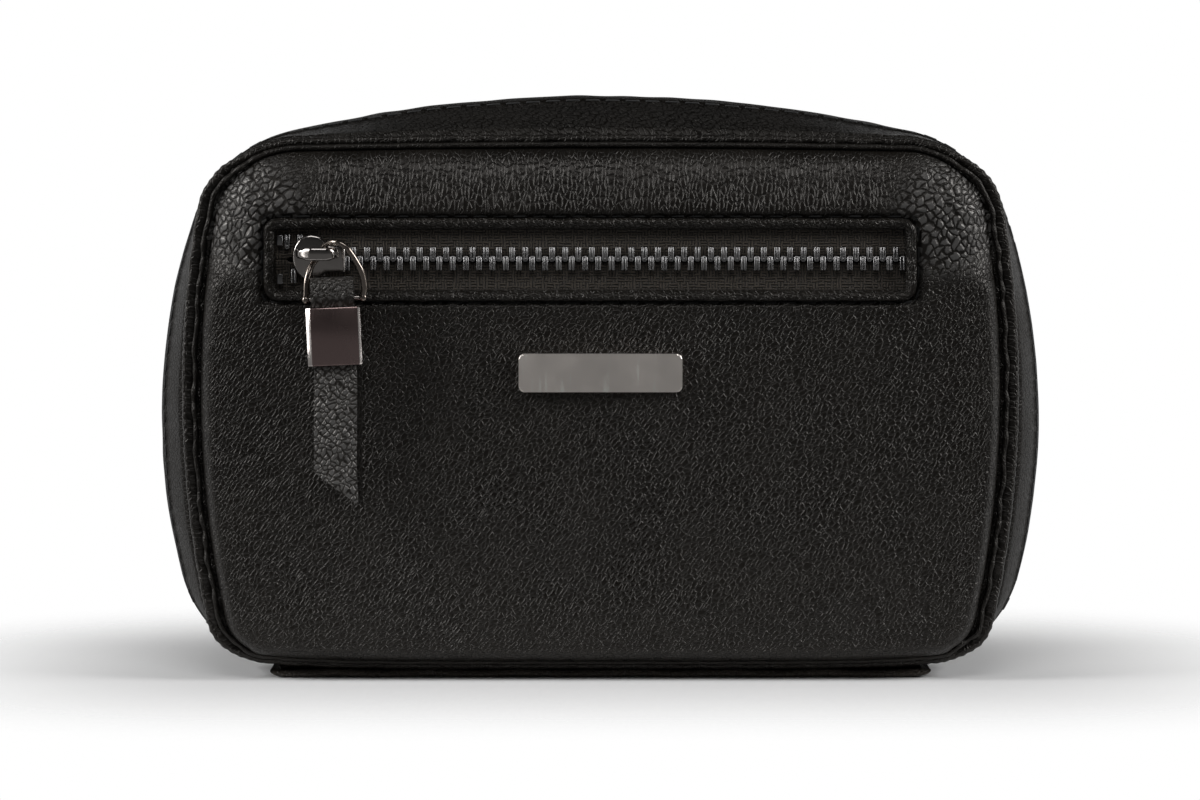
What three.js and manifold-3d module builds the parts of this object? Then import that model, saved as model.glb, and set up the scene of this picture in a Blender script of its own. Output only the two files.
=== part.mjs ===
// Zip-round meter case: two padded leather halves on a spine strip, with a zipped pocket in front.
// Millimetres, X to the right, Y to the back, Z up. Y = 0 is the parting plane of the main zip,
// and Z = 0 is the flat underside of the spine.
import * as THREE from "three";
import { mergeVertices } from "three/addons/utils/BufferGeometryUtils.js";
import Module from "manifold-3d";

const wasm = await Module();
wasm.setup();

// Clearances
const SEAM = 0.3; // between pieces that are sewn, glued or pressed together
const RUN = 0.35; // round a piece that moves
const BRAZE = 0.1; // between metal faces that are brazed together

// Seam of the piping, seen from the front: corner centres, corner radii and the bows of top and sides
const PIPING_SHOULDER_X = 62;
const PIPING_SHOULDER_Z = 91.8;
const PIPING_SHOULDER_R = 18.6;
const PIPING_FOOT_X = 64.1;
const PIPING_FOOT_Z = 17.7;
const PIPING_FOOT_R = 14.8;
const PIPING_TOP_BOW = 2880;
const PIPING_SIDE_BOW = 222;

// Crest of the gussets, where the case is widest
const CREST_SHOULDER_X = 57.6;
const CREST_SHOULDER_Z = 84.3;
const CREST_SHOULDER_R = 28.9;
const CREST_FOOT_X = 63.7;
const CREST_FOOT_Z = 26.3;
const CREST_FOOT_R = 24.7;
const CREST_TOP_BOW = 288;
const CREST_SIDE_BOW = 131.5;

// Depths from the parting plane
const PIPING_Y = 24.4; // middle of the piping cord
const CREST_Y = 6.5; // where the gusset is widest
const HEM_Y = 5; // folded edge of the gusset beside the zip
const CROWN = 6; // height of the panels above the piping plane
const CROWN_WIDTH = 13; // width of the round edge of the panels

// Leather and padding
const LEATHER = 1.2;
const GUSSET = 4.8; // padded side wall
const HEM_ROUND = 0.8;
const PIPING_R = 1.2;
const LINING = 0.5;
const BOARD = 1;
const FRONT_FOAM = 2.4;
const REAR_FOAM = 3.6;

// Spine
const SPINE_HALF = 68.6; // half length of the gap between the gusset ends
const SPINE_LIFT = 2; // rise of the spine's ends
const SPINE_LIFT_RUN = 3.4; // length over which they rise
const SPINE_BEND = 5; // depth of the bend up to each piping

// Pocket in the front panel
const POCKET_X = -1.5;
const POCKET_Z = 86.2;
const POCKET_LENGTH = 128;
const POCKET_HEIGHT = 12.1;
const POCKET_CORNER = 2;
const WELT_WIDTH = 2.2;
const WELT_HEIGHT = 1.1;
const WELT_BEVEL = 0.4;
const BAG_LENGTH = 136;
const BAG_FOOT_Z = 20;
const BAG_CLOTH = 0.4;

// Pocket zip
const TAPE = 0.5;
const TAPE_WIDTH = 9; // from the middle of the chain
const TAPE_END = 2.5; // tape beyond each end of the opening
const TOOTH_PITCH = 2.69;
const TOOTH_WIDTH = 1.05;
const TOOTH_HEIGHT = 0.75;
const TOOTH_REACH = 0.9; // past the middle of the chain
const TOOTH_ROOT = 1.2;
const ROW_EDGE = 2.4; // outer edge of a row from the middle of the chain
const ROW_SPREAD = 2.6; // how far the wedge parts each row
const SPREAD_RUN = 7;
const STOP_WIDTH = 1.3;

// Pocket slider
const SLIDER_X = -56.5;
const SLIDER_LENGTH = 11.2;
const SLIDER_MOUTH = 9.4;
const SLIDER_NOSE = 6.6;
const SLIDER_PLATE = 1;
const WEDGE_LENGTH = 3.6;
const WEDGE_WIDTH = 1.2;
const WEDGE_SETBACK = 0.45; // wedge behind the edge of the plates
const BRIDGE_LENGTH = 8.5;
const BRIDGE_HEIGHT = 2.4;
const BRIDGE_BAR = 1.3;
const BRIDGE_FOOT = 1.1;
const BRIDGE_LIFT = 0.9; // bridge above the middle of the chain

// Pull: wire horseshoe, pin, strap and clamp
const WIRE_R = 0.55;
const WIRE_RISE = 2.6; // top of the horseshoe above the bridge's bar
const WIRE_DROP = 8.8; // pin below the bar
const WIRE_LEFT = -2.8; // horseshoe from the slider's middle: its left end and its widest place on the right
const WIRE_RIGHT = 9.2;
const WIRE_TUCK = 0.45; // right end of the horseshoe inside its widest place
const PULL_TILT = 2.5; // degrees by which the pull hangs askew
const BALL_R = 1.05;
const PIN_R = 0.5;
const STRAP_WIDTH = 8.7;
const STRAP_LEAF = 1;
const STRAP_FOLD = 4.4; // top of the fold above the pin
const STRAP_DROP = 36; // left end of the diagonal cut, below the pin
const STRAP_SLANT = 6;
const STRAP_SHIFT = 1; // back leaf to the right of the front leaf
const STRAP_LEAN = 1.1; // how far the foot bends back to hang plumb
const LEAF_WELD = 0.1; // how deep the two leaves are pressed together
const CLAMP_WIDTH = 11.6;
const CLAMP_HEIGHT = 11.8;
const CLAMP_WALL = 0.8;
const CLAMP_DROP = 1.7; // top of the clamp below the pin
const CLAMP_BEVEL = 0.3;
const STRAP_CLEAR = 0.5; // clamp in front of the nameplate

// Nameplate
const PLATE_Z = 63.2;
const PLATE_LENGTH = 33.4;
const PLATE_HEIGHT = 7.9;
const PLATE_THICK = 1;
const PLATE_CORNER = 1.2;
const PLATE_BEVEL = 0.35;
const POST_SPAN = 24;
const POST_R = 0.7;
const BACKING_MARGIN = 2.5;

// Main zip and its slider, which is parked low on the right side
const MAIN_TAPE_Y = 8.2; // outer edge of the tape from the parting plane
const COIL_WIDTH = 1.45;
const COIL_THICK = 1.9;
const COIL_SLIT = 0.85; // from the parting plane to each coil
const MAIN_SLIDER_LENGTH = 10.5;
const MAIN_SLIDER_WIDTH = 7.8;
const MAIN_SLIDER_ROOM = 0.75; // between the coil and each plate
const MAIN_SLIDER_PARK = 8; // parked above the lower end of its run
const MAIN_SLIDER_PLATE = 0.8;
const MAIN_WEDGE_WIDTH = 1;
const MAIN_BRIDGE_LENGTH = 6;
const MAIN_BRIDGE_WIDTH = 2;
const MAIN_BRIDGE_BAR = 0.8;
const MAIN_PULL_ROD_R = 0.55;
const MAIN_PULL_LENGTH = 17;
const MAIN_PULL_THICK = 1.1;
const MAIN_PULL_ARM = 1.3;
const MAIN_PULL_CLEAR = 1.2; // above the coil

// Fittings inside
const SLIP_LENGTH = 130;
const SLIP_FOOT_Z = 12;
const SLIP_TOP_Z = 68;
const SLIP_CLOTH = 0.8;
const SLIP_CORNER = 9;
const BINDING_HEIGHT = 2.4;
const BINDING_THICK = 1.4;
const STRAP_BAND_X = -24;
const STRAP_BAND_LENGTH = 62;
const STRAP_BAND_Z = 58;
const STRAP_BAND_HEIGHT = 26;
const ELASTIC = 1;
const LOOP_X = 42;
const LOOP_Z = 58;
const LOOP_HEIGHT = 24;
const LOOP_BORE = 14;
const LOOP_FLANGE = 6;

// Facets of the arcs
const FOOT_STEPS = 5;
const SIDE_STEPS = 4;
const SHOULDER_STEPS = 6;
const TOP_STEPS = 3;
const CROWN_STEPS = 5;
const WALL_STEPS = 4;
const LEAST_CORNER = 1.5;

const PIPING = {
  shoulder: { x: PIPING_SHOULDER_X, z: PIPING_SHOULDER_Z, r: PIPING_SHOULDER_R },
  foot: { x: PIPING_FOOT_X, z: PIPING_FOOT_Z, r: PIPING_FOOT_R },
  topBow: PIPING_TOP_BOW,
  sideBow: PIPING_SIDE_BOW,
};
const CREST = {
  shoulder: { x: CREST_SHOULDER_X, z: CREST_SHOULDER_Z, r: CREST_SHOULDER_R },
  foot: { x: CREST_FOOT_X, z: CREST_FOOT_Z, r: CREST_FOOT_R },
  topBow: CREST_TOP_BOW,
  sideBow: CREST_SIDE_BOW,
};

// Depths of the layers behind a panel's face, counted inwards from the face
const FACE = PIPING_Y + CROWN;
const TAPE_IN = LEATHER + SEAM;
const LEAF_IN = TAPE_IN + TAPE + SEAM;
const TOOTH_IN = LEATHER - TOOTH_HEIGHT;
const SLIDER_IN = TOOTH_IN - RUN - SLIDER_PLATE;
const SLIDER_BACK_IN = TAPE_IN + TAPE + RUN;
const BAG_BACK_IN = SLIDER_BACK_IN + SLIDER_PLATE + RUN;
const FRONT_FOAM_IN = BAG_BACK_IN + BAG_CLOTH + SEAM;
const REAR_FOAM_IN = LEATHER + SEAM;

// Start of the gusset behind the piping
const GUSSET_START = PIPING_Y - PIPING_R - SEAM;

// The wire goes round the bridge's bar, clear of the bar and of the slider's plate
const WIRE_ORBIT = Math.hypot(BRIDGE_HEIGHT, BRIDGE_BAR) / 2 + SEAM + WIRE_R;
const BRIDGE_AXIS_Y = -FACE + SLIDER_IN - WIRE_ORBIT - WIRE_R - RUN;
const BRIDGE_AXIS_Z = POCKET_Z + BRIDGE_LIFT;

// The pull hangs clear of the nameplate
const CLAMP_HALF = STRAP_LEAF + SEAM + CLAMP_WALL;
const PULL_Y = -FACE - PLATE_THICK - STRAP_CLEAR - CLAMP_HALF;

// Materials
const leather = material("leather", 0x1d1a17, 0.55);
const edgeLeather = material("strap_leather", 0x1a1715, 0.6);
const tapeCloth = material("zip_tape", 0x16120f, 0.85);
const gunmetal = material("gunmetal", 0x8d8984, 0.3);
const nickel = material("nickel", 0xb9b6b2, 0.28);
const coilNylon = material("zip_coil", 0x191614, 0.5);
const foam = material("foam", 0x8f8d88, 0.95);
const board = material("board", 0x6f6253, 0.9);
const liningCloth = material("lining", 0x2a2622, 0.9);
const elastic = material("elastic", 0x171514, 0.9);

const part = new THREE.Group();
addSpine();
addHalf("front", -1, FRONT_FOAM_IN, FRONT_FOAM);
addHalf("rear", 1, REAR_FOAM_IN, REAR_FOAM);
addPocketZip();
addPocketBag();
addNameplate();
addPocketSlider();
addPull();
addMainSlider();
addFrontFittings();
addRearFittings();
export default part;

// Basic helpers

function material(name, color, roughness) {
  const made = new THREE.MeshStandardMaterial({ color, roughness });
  made.name = name;
  return made;
}

function add(name, geometry, used, parent = part) {
  const mesh = new THREE.Mesh(geometry, used);
  mesh.name = name;
  parent.add(mesh);
}

function toSolid(geometry) {
  const plain = geometry.clone();
  plain.deleteAttribute("normal");
  plain.deleteAttribute("uv");
  const merged = mergeVertices(plain, 1e-4);
  return new wasm.Manifold(
    new wasm.Mesh({
      numProp: 3,
      vertProperties: new Float32Array(merged.attributes.position.array),
      triVerts: new Uint32Array(merged.index.array),
    }),
  );
}

function toGeometry(solid) {
  const mesh = solid.getMesh();
  const geometry = new THREE.BufferGeometry();
  geometry.setAttribute("position", new THREE.BufferAttribute(mesh.vertProperties, 3));
  geometry.setIndex(new THREE.BufferAttribute(mesh.triVerts, 1));
  return geometry;
}

function unite(...geometries) {
  return toGeometry(geometries.map(toSolid).reduce((sum, next) => sum.add(next)));
}

function cut(geometry, ...tools) {
  return toGeometry(tools.map(toSolid).reduce((rest, tool) => rest.subtract(tool), toSolid(geometry)));
}

// Extrusions along one axis, from a shape drawn in the other two
function extrudeX(shape, x0, x1) {
  const made = new THREE.ExtrudeGeometry(shape, { depth: x1 - x0, bevelEnabled: false, curveSegments: 6 });
  const turn = new THREE.Matrix4().makeBasis(
    new THREE.Vector3(0, 1, 0),
    new THREE.Vector3(0, 0, 1),
    new THREE.Vector3(1, 0, 0),
  );
  return made.applyMatrix4(turn).translate(x0, 0, 0);
}

function extrudeY(shape, y0, y1, bevel = 0, curveSegments = 4) {
  const made = new THREE.ExtrudeGeometry(shape, {
    depth: y1 - y0 - 2 * bevel,
    bevelEnabled: bevel > 0,
    bevelThickness: bevel,
    bevelSize: bevel,
    bevelOffset: -bevel,
    bevelSegments: 1,
    curveSegments,
  });
  const turn = new THREE.Matrix4().makeBasis(
    new THREE.Vector3(1, 0, 0),
    new THREE.Vector3(0, 0, 1),
    new THREE.Vector3(0, -1, 0),
  );
  return made.applyMatrix4(turn).translate(0, y1 - bevel, 0);
}

function extrudeZ(shape, z0, z1) {
  const made = new THREE.ExtrudeGeometry(shape, { depth: z1 - z0, bevelEnabled: false, curveSegments: 8 });
  return made.translate(0, 0, z0);
}

function box(x0, x1, y0, y1, z0, z1) {
  const made = new THREE.BoxGeometry(x1 - x0, y1 - y0, z1 - z0);
  return made.translate((x0 + x1) / 2, (y0 + y1) / 2, (z0 + z1) / 2);
}

function polygon(points) {
  return new THREE.Shape(points.map(([u, v]) => new THREE.Vector2(u, v)));
}

function roundRect(x, z, width, height, r, target = new THREE.Shape()) {
  const right = x + width / 2;
  const left = x - width / 2;
  const top = z + height / 2;
  const foot = z - height / 2;
  target.moveTo(left + r, foot);
  target.lineTo(right - r, foot);
  target.absarc(right - r, foot + r, r, -Math.PI / 2, 0);
  target.lineTo(right, top - r);
  target.absarc(right - r, top - r, r, 0, Math.PI / 2);
  target.lineTo(left + r, top);
  target.absarc(left + r, top - r, r, Math.PI / 2, Math.PI);
  target.lineTo(left, foot + r);
  target.absarc(left + r, foot + r, r, Math.PI, 1.5 * Math.PI);
  return target;
}

function rodAlongX(x0, x1, y, z, r) {
  const made = new THREE.CylinderGeometry(r, r, x1 - x0, 10);
  return made.rotateZ(Math.PI / 2).translate((x0 + x1) / 2, y, z);
}

// A closed solid through rings of points. Open lofts get a flat cap at both ends.
function loft(rings, closed = false) {
  const count = rings[0].length;
  const positions = rings.flat().flatMap((p) => [p.x, p.y, p.z]);
  const faces = [];
  const steps = closed ? rings.length : rings.length - 1;
  for (let i = 0; i < steps; i++) {
    const here = i * count;
    const next = ((i + 1) % rings.length) * count;
    for (let k = 0; k < count; k++) {
      const k1 = (k + 1) % count;
      faces.push([here + k, here + k1, next + k1], [here + k, next + k1, next + k]);
    }
  }
  if (!closed) {
    const last = (rings.length - 1) * count;
    faces.push(...capFaces(rings[0]).map(([a, b, c]) => [c, b, a]));
    faces.push(...capFaces(rings.at(-1)).map((face) => face.map((k) => last + k)));
  }
  if (signedVolume(positions, faces) < 0) faces.forEach((face) => face.reverse());
  const geometry = new THREE.BufferGeometry();
  geometry.setAttribute("position", new THREE.Float32BufferAttribute(positions, 3));
  geometry.setIndex(faces.flat());
  return geometry;
}

// Triangles over a ring, wound the same way as the ring
function capFaces(ring) {
  const normal = new THREE.Vector3();
  ring.forEach((p, k) => normal.add(new THREE.Vector3().crossVectors(p, ring[(k + 1) % ring.length])));
  const turn = new THREE.Quaternion().setFromUnitVectors(normal.normalize(), new THREE.Vector3(0, 0, 1));
  const flat = ring.map((p) => {
    const q = p.clone().applyQuaternion(turn);
    return new THREE.Vector2(q.x, q.y);
  });
  return THREE.ShapeUtils.triangulateShape(flat, []);
}

function signedVolume(positions, faces) {
  const at = (k) => new THREE.Vector3().fromArray(positions, 3 * k);
  return faces.reduce((sum, [a, b, c]) => sum + at(a).dot(at(b).cross(at(c))), 0);
}

// Outlines

// Centre of the bowed side, an arc that touches both corner arcs from outside
function sideCentre(shoulder, foot, bow) {
  const fromShoulder = bow - shoulder.r;
  const fromFoot = bow - foot.r;
  const span = Math.hypot(foot.x - shoulder.x, foot.z - shoulder.z);
  const ux = (foot.x - shoulder.x) / span;
  const uz = (foot.z - shoulder.z) / span;
  const along = (fromShoulder ** 2 - fromFoot ** 2 + span ** 2) / (2 * span);
  const across = Math.sqrt(fromShoulder ** 2 - along ** 2);
  return { x: shoulder.x + ux * along + uz * across, z: shoulder.z + uz * along - ux * across };
}

function arc(centre, r, from, to, steps) {
  return Array.from({ length: steps + 1 }, (_, i) => {
    const angle = from + ((to - from) * i) / steps;
    return { x: centre.x + r * Math.cos(angle), z: centre.z + r * Math.sin(angle) };
  });
}

// A corner moved inwards: its arc shrinks, and then the corner itself moves in
function insetCorner(corner, inset, inwards) {
  const r = Math.max(corner.r - inset, LEAST_CORNER);
  const shift = inset - (corner.r - r);
  return { x: corner.x - shift, z: corner.z + inwards * shift, r };
}

// The outline from the right end of the spine over the top to its left end, moved inwards by an inset
function outline(base, inset = 0) {
  const shoulder = insetCorner(base.shoulder, inset, -1);
  const foot = insetCorner(base.foot, inset, 1);
  const sideBow = base.sideBow - inset;
  const topBow = base.topBow - inset;
  const side = sideCentre(shoulder, foot, sideBow);
  const top = { x: 0, z: shoulder.z - Math.sqrt((topBow - shoulder.r) ** 2 - shoulder.x ** 2) };
  const start = Math.asin((SPINE_HALF - base.foot.x) / base.foot.r) - Math.PI / 2;
  const sideFrom = Math.atan2(foot.z - side.z, foot.x - side.x);
  const sideTo = Math.atan2(shoulder.z - side.z, shoulder.x - side.x);
  const topFrom = Math.atan2(shoulder.z - top.z, shoulder.x);
  const right = [
    ...arc(foot, foot.r, start, sideFrom, FOOT_STEPS),
    ...arc(side, sideBow, sideFrom, sideTo, SIDE_STEPS).slice(1),
    ...arc(shoulder, shoulder.r, sideTo, topFrom, SHOULDER_STEPS).slice(1),
    ...arc(top, topBow, topFrom, Math.PI / 2, TOP_STEPS).slice(1),
  ];
  const left = right.slice(0, -1).reverse().map((p) => ({ x: -p.x, z: p.z }));
  return [...right, ...left];
}

function ringAt(points, y) {
  return points.map((p) => new THREE.Vector3(p.x, y, p.z));
}

// The gusset's wall flares from the piping to the crest in flat steps, steeply at first and then level
function flare(depth) {
  const run = THREE.MathUtils.clamp((GUSSET_START - depth) / (GUSSET_START - CREST_Y), 0, 1) * WALL_STEPS;
  const step = Math.min(Math.floor(run), WALL_STEPS - 1);
  const rise = (count) => 1 - (1 - count / WALL_STEPS) ** 2;
  return THREE.MathUtils.lerp(rise(step), rise(step + 1), run - step);
}

function wall(depth, inset) {
  const share = flare(depth);
  const narrow = outline(PIPING, inset);
  const wide = outline(CREST, inset);
  return narrow.map((p, i) => ({
    x: p.x + (wide[i].x - p.x) * share,
    z: p.z + (wide[i].z - p.z) * share,
  }));
}

// A band that follows the wall from one end of the spine to the other
function wallBand(side, profile) {
  const lines = profile.map(([depth, inset]) => ringAt(wall(depth, inset), side * depth));
  return loft(lines[0].map((_, i) => lines.map((line) => line[i])));
}

function evenly(from, to, steps) {
  return Array.from({ length: steps + 1 }, (_, i) => from + ((to - from) * i) / steps);
}

// Leather shell and padding of one half

function addHalf(name, side, foamIn, foamThick) {
  const boardIn = foamIn + foamThick + SEAM;
  const liningIn = boardIn + BOARD + SEAM;
  const panel = crownedPanel(side);
  add(`${name}_panel`, side < 0 ? cut(panel, pocketOpening(), ...postHoles()) : panel, leather);
  add(`${name}_piping`, pipingRing(side), leather);
  add(`${name}_gusset`, gussetBand(side), leather);
  add(`${name}_foam`, padding(side, foamIn, foamThick), foam);
  add(`${name}_board`, padding(side, boardIn, BOARD), board);
  add(`${name}_lining`, liningTray(side, liningIn), liningCloth);
  add(`${name}_zip_tape`, mainTape(side), tapeCloth);
  add(`${name}_zip_coil`, mainCoil(side), coilNylon);
}

// Panel with a round edge: quarter ellipses outside and inside, joined at the rim
function crownedPanel(side) {
  const edge = PIPING_R + SEAM;
  const angles = evenly(Math.PI / 2, 0, CROWN_STEPS);
  const skin = (thick) =>
    angles.map((angle) => {
      const inset = edge + CROWN_WIDTH - (CROWN_WIDTH - thick) * Math.cos(angle);
      return ringAt(outline(PIPING, inset), side * (PIPING_Y + (CROWN - thick) * Math.sin(angle)));
    });
  return loft([...skin(0), ...skin(LEATHER).reverse()]);
}

function pipingRing(side) {
  const corners = evenly(0, 2 * Math.PI, 8).slice(0, -1);
  const lines = corners.map((angle) =>
    ringAt(outline(PIPING, PIPING_R * Math.cos(angle)), side * (PIPING_Y + PIPING_R * Math.sin(angle))),
  );
  return loft(lines[0].map((_, i) => lines.map((line) => line[i])), true);
}

function gussetBand(side) {
  const depths = evenly(GUSSET_START, CREST_Y, WALL_STEPS);
  const outside = depths.map((depth) => [depth, 0]);
  const inside = [...depths, HEM_Y].reverse().map((depth) => [depth, GUSSET]);
  const fold = [
    [HEM_Y + 0.3 * HEM_ROUND, 0.3 * HEM_ROUND],
    [HEM_Y, HEM_ROUND],
  ];
  return wallBand(side, [...outside, ...fold, ...inside]);
}

// Padding is drawn in until it clears the inside of the panel's round edge
function padding(side, depthIn, thick) {
  const height = Math.max(CROWN - depthIn + SEAM, 0);
  const level = Math.min(height / (CROWN - LEATHER), 1);
  const reach = (CROWN_WIDTH - LEATHER) * Math.sqrt(1 - level ** 2);
  const inset = Math.max(PIPING_R + SEAM + CROWN_WIDTH - reach, GUSSET) + SEAM;
  const points = outline(PIPING, inset);
  return loft([ringAt(points, side * (FACE - depthIn)), ringAt(points, side * (FACE - depthIn - thick))]);
}

// Lining: a sheet over the board and a wall inside the gusset, up to the zip tape
function liningTray(side, depthIn) {
  const back = FACE - depthIn;
  const outer = GUSSET + SEAM;
  const inner = outer + LINING;
  const sheet = loft([
    ringAt(wall(back, inner), side * back),
    ringAt(wall(back - LINING, outer + LINING / 2), side * (back - LINING)),
  ]);
  const start = back - LINING / 2;
  const end = MAIN_TAPE_Y + SEAM;
  const bends = evenly(GUSSET_START, CREST_Y, WALL_STEPS).filter((depth) => depth < start && depth > end);
  const depths = [start, ...bends, end];
  const inside = depths.map((depth) => [depth, inner]);
  const outside = depths.toReversed().map((depth) => [depth, outer]);
  return unite(sheet, wallBand(side, [...inside, ...outside]));
}

function mainTape(side) {
  const outer = GUSSET + SEAM;
  const near = COIL_SLIT + COIL_WIDTH + SEAM;
  return wallBand(side, [
    [MAIN_TAPE_Y, outer],
    [near, outer],
    [near, outer + TAPE],
    [MAIN_TAPE_Y, outer + TAPE],
  ]);
}

function mainCoil(side) {
  const middle = GUSSET + SEAM + TAPE / 2;
  const near = COIL_SLIT;
  const far = COIL_SLIT + COIL_WIDTH;
  return wallBand(side, [
    [far, middle - COIL_THICK / 2],
    [near, middle - COIL_THICK / 2],
    [near, middle + COIL_THICK / 2],
    [far, middle + COIL_THICK / 2],
  ]);
}

// Spine: a strip that lies flat, bends up to both pipings and rounds up at its ends

function addSpine() {
  const half = SPINE_HALF - 2 * SEAM;
  const edge = PIPING_Y - PIPING_R - SEAM;
  const foot = outline(PIPING)[0].z;
  const flat = edge - SPINE_BEND;
  const bend = (y) => 1 - Math.cos((Math.PI / 2) * Math.max(0, (Math.abs(y) - flat) / SPINE_BEND));
  const level = (y, lift) => THREE.MathUtils.lerp(lift, foot, bend(y));
  const across = [
    ...evenly(-edge, -flat, 3),
    ...evenly(flat, edge, 3),
  ];
  const section = (x, lift) => [
    ...across.map((y) => new THREE.Vector3(x, y, level(y, lift))),
    ...across.toReversed().map((y) => new THREE.Vector3(x, y, level(y, lift) + LEATHER)),
  ];
  const rightEnd = evenly(Math.PI / 2, 0, 4).map((turn) => ({
    x: half - SPINE_LIFT_RUN * (1 - Math.cos(turn)),
    lift: SPINE_LIFT * (1 - Math.sin(turn)),
  }));
  const leftEnd = rightEnd.toReversed().map(({ x, lift }) => ({ x: -x, lift }));
  add("spine_leather", loft([...leftEnd, ...rightEnd].map(({ x, lift }) => section(x, lift))), leather);
  const boardHalf = half - SPINE_LIFT_RUN;
  const boardFoot = LEATHER + SEAM;
  const liningFoot = boardFoot + BOARD + SEAM;
  add("spine_board", box(-boardHalf, boardHalf, -flat, flat, boardFoot, boardFoot + BOARD), board);
  add("spine_lining", box(-boardHalf, boardHalf, -flat, flat, liningFoot, liningFoot + LINING), liningCloth);
}

// Pocket

function pocketOpening() {
  const shape = roundRect(POCKET_X, POCKET_Z, POCKET_LENGTH, POCKET_HEIGHT, POCKET_CORNER);
  return extrudeY(shape, -FACE - CROWN, -PIPING_Y);
}

function spread(x) {
  const run = (SLIDER_X + WEDGE_LENGTH - x) / SPREAD_RUN;
  return ROW_SPREAD * THREE.MathUtils.smoothstep(run, 0, 1);
}

// One row of teeth as a comb. The rows mesh half a pitch apart, and part at the slider's wedge.
function toothRow(way, from, to) {
  const count = Math.floor((to - from - TOOTH_WIDTH) / TOOTH_PITCH);
  const shift = way > 0 ? 0 : TOOTH_PITCH / 2;
  const middles = Array.from({ length: count + 1 }, (_, i) => from + TOOTH_WIDTH / 2 + shift + i * TOOTH_PITCH)
    .filter((x) => x + TOOTH_WIDTH / 2 <= to);
  const level = (x, z) => POCKET_Z + way * (z + spread(x));
  const teeth = middles.flatMap((x) => {
    const left = x - TOOTH_WIDTH / 2;
    const right = x + TOOTH_WIDTH / 2;
    return [
      [left, level(x, TOOTH_ROOT)],
      [left, level(x, -TOOTH_REACH)],
      [right, level(x, -TOOTH_REACH)],
      [right, level(x, TOOTH_ROOT)],
    ];
  });
  const first = middles[0] - TOOTH_WIDTH / 2;
  const last = middles.at(-1) + TOOTH_WIDTH / 2;
  const parted = middles.filter((x) => spread(x) > 0).reverse();
  const back = [
    [last, level(last, ROW_EDGE)],
    ...parted.slice(0, -1).map((x) => [x, level(x, ROW_EDGE)]),
    [first, level(middles[0], ROW_EDGE)],
  ];
  return extrudeY(polygon([...teeth, ...back]), -FACE + TOOTH_IN, -FACE + TOOTH_IN + TOOTH_HEIGHT);
}

function addPocketZip() {
  const left = POCKET_X - POCKET_LENGTH / 2;
  const right = POCKET_X + POCKET_LENGTH / 2;
  const front = -FACE + TOOTH_IN;
  const back = front + TOOTH_HEIGHT;
  const frame = roundRect(
    POCKET_X,
    POCKET_Z,
    POCKET_LENGTH + 2 * WELT_WIDTH,
    POCKET_HEIGHT + 2 * WELT_WIDTH,
    POCKET_CORNER + WELT_WIDTH,
  );
  const opening = new THREE.Path();
  frame.holes.push(roundRect(POCKET_X, POCKET_Z, POCKET_LENGTH, POCKET_HEIGHT, POCKET_CORNER, opening));
  add("pocket_welt", extrudeY(frame, -FACE - WELT_HEIGHT, -FACE, WELT_BEVEL), leather);
  const tapeGap = WEDGE_WIDTH / 2 + RUN;
  const stopFrom = left + SEAM;
  const rowFrom = stopFrom + STOP_WIDTH + SEAM;
  const rowTo = right - STOP_WIDTH - 2 * SEAM;
  for (const [name, way] of [["upper", 1], ["lower", -1]]) {
    const near = POCKET_Z + way * tapeGap;
    const far = POCKET_Z + way * TAPE_WIDTH;
    const tapeFoot = Math.min(near, far);
    const tapeTop = Math.max(near, far);
    add(
      `pocket_tape_${name}`,
      box(left - TAPE_END, right + TAPE_END, -FACE + TAPE_IN, -FACE + TAPE_IN + TAPE, tapeFoot, tapeTop),
      tapeCloth,
    );
    add(`pocket_teeth_${name}`, toothRow(way, rowFrom, rowTo), gunmetal);
    const stopNear = POCKET_Z + way * (ROW_SPREAD + TOOTH_ROOT - TOOTH_REACH);
    const stopFar = POCKET_Z + way * (ROW_SPREAD + ROW_EDGE);
    const stopFoot = Math.min(stopNear, stopFar);
    const stopTop = Math.max(stopNear, stopFar);
    add(`pocket_stop_${name}`, box(stopFrom, stopFrom + STOP_WIDTH, front, back, stopFoot, stopTop), gunmetal);
  }
  const endFrom = right - SEAM - STOP_WIDTH;
  const endStop = box(endFrom, right - SEAM, front, back, POCKET_Z - ROW_EDGE, POCKET_Z + ROW_EDGE);
  add("pocket_end_stop", endStop, gunmetal);
}

// Pocket bag: front leaf on the lower tape, a fold at the foot, and the back leaf up to the upper tape
function addPocketBag() {
  const front = -FACE + LEAF_IN;
  const back = -FACE + BAG_BACK_IN;
  const leafTop = POCKET_Z - SLIDER_MOUTH / 2 - RUN;
  const top = POCKET_Z + TAPE_WIDTH;
  const profile = polygon([
    [front, leafTop],
    [front, BAG_FOOT_Z],
    [back + BAG_CLOTH, BAG_FOOT_Z],
    [back + BAG_CLOTH, top],
    [front, top],
    [front, top - BAG_CLOTH],
    [back, top - BAG_CLOTH],
    [back, BAG_FOOT_Z + BAG_CLOTH],
    [front + BAG_CLOTH, BAG_FOOT_Z + BAG_CLOTH],
    [front + BAG_CLOTH, leafTop],
  ]);
  add("pocket_bag", extrudeX(profile, POCKET_X - BAG_LENGTH / 2, POCKET_X + BAG_LENGTH / 2), liningCloth);
}

// Nameplate with two posts through the leather into a backing strip

function postRods(r, y0, y1) {
  return [-1, 1].map((way) => {
    const shape = new THREE.Shape().absarc((way * POST_SPAN) / 2, PLATE_Z, r, 0, 2 * Math.PI);
    return extrudeY(shape, y0, y1, 0, 5);
  });
}

function postHoles() {
  return postRods(POST_R + SEAM, -FACE - CROWN, -PIPING_Y);
}

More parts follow.
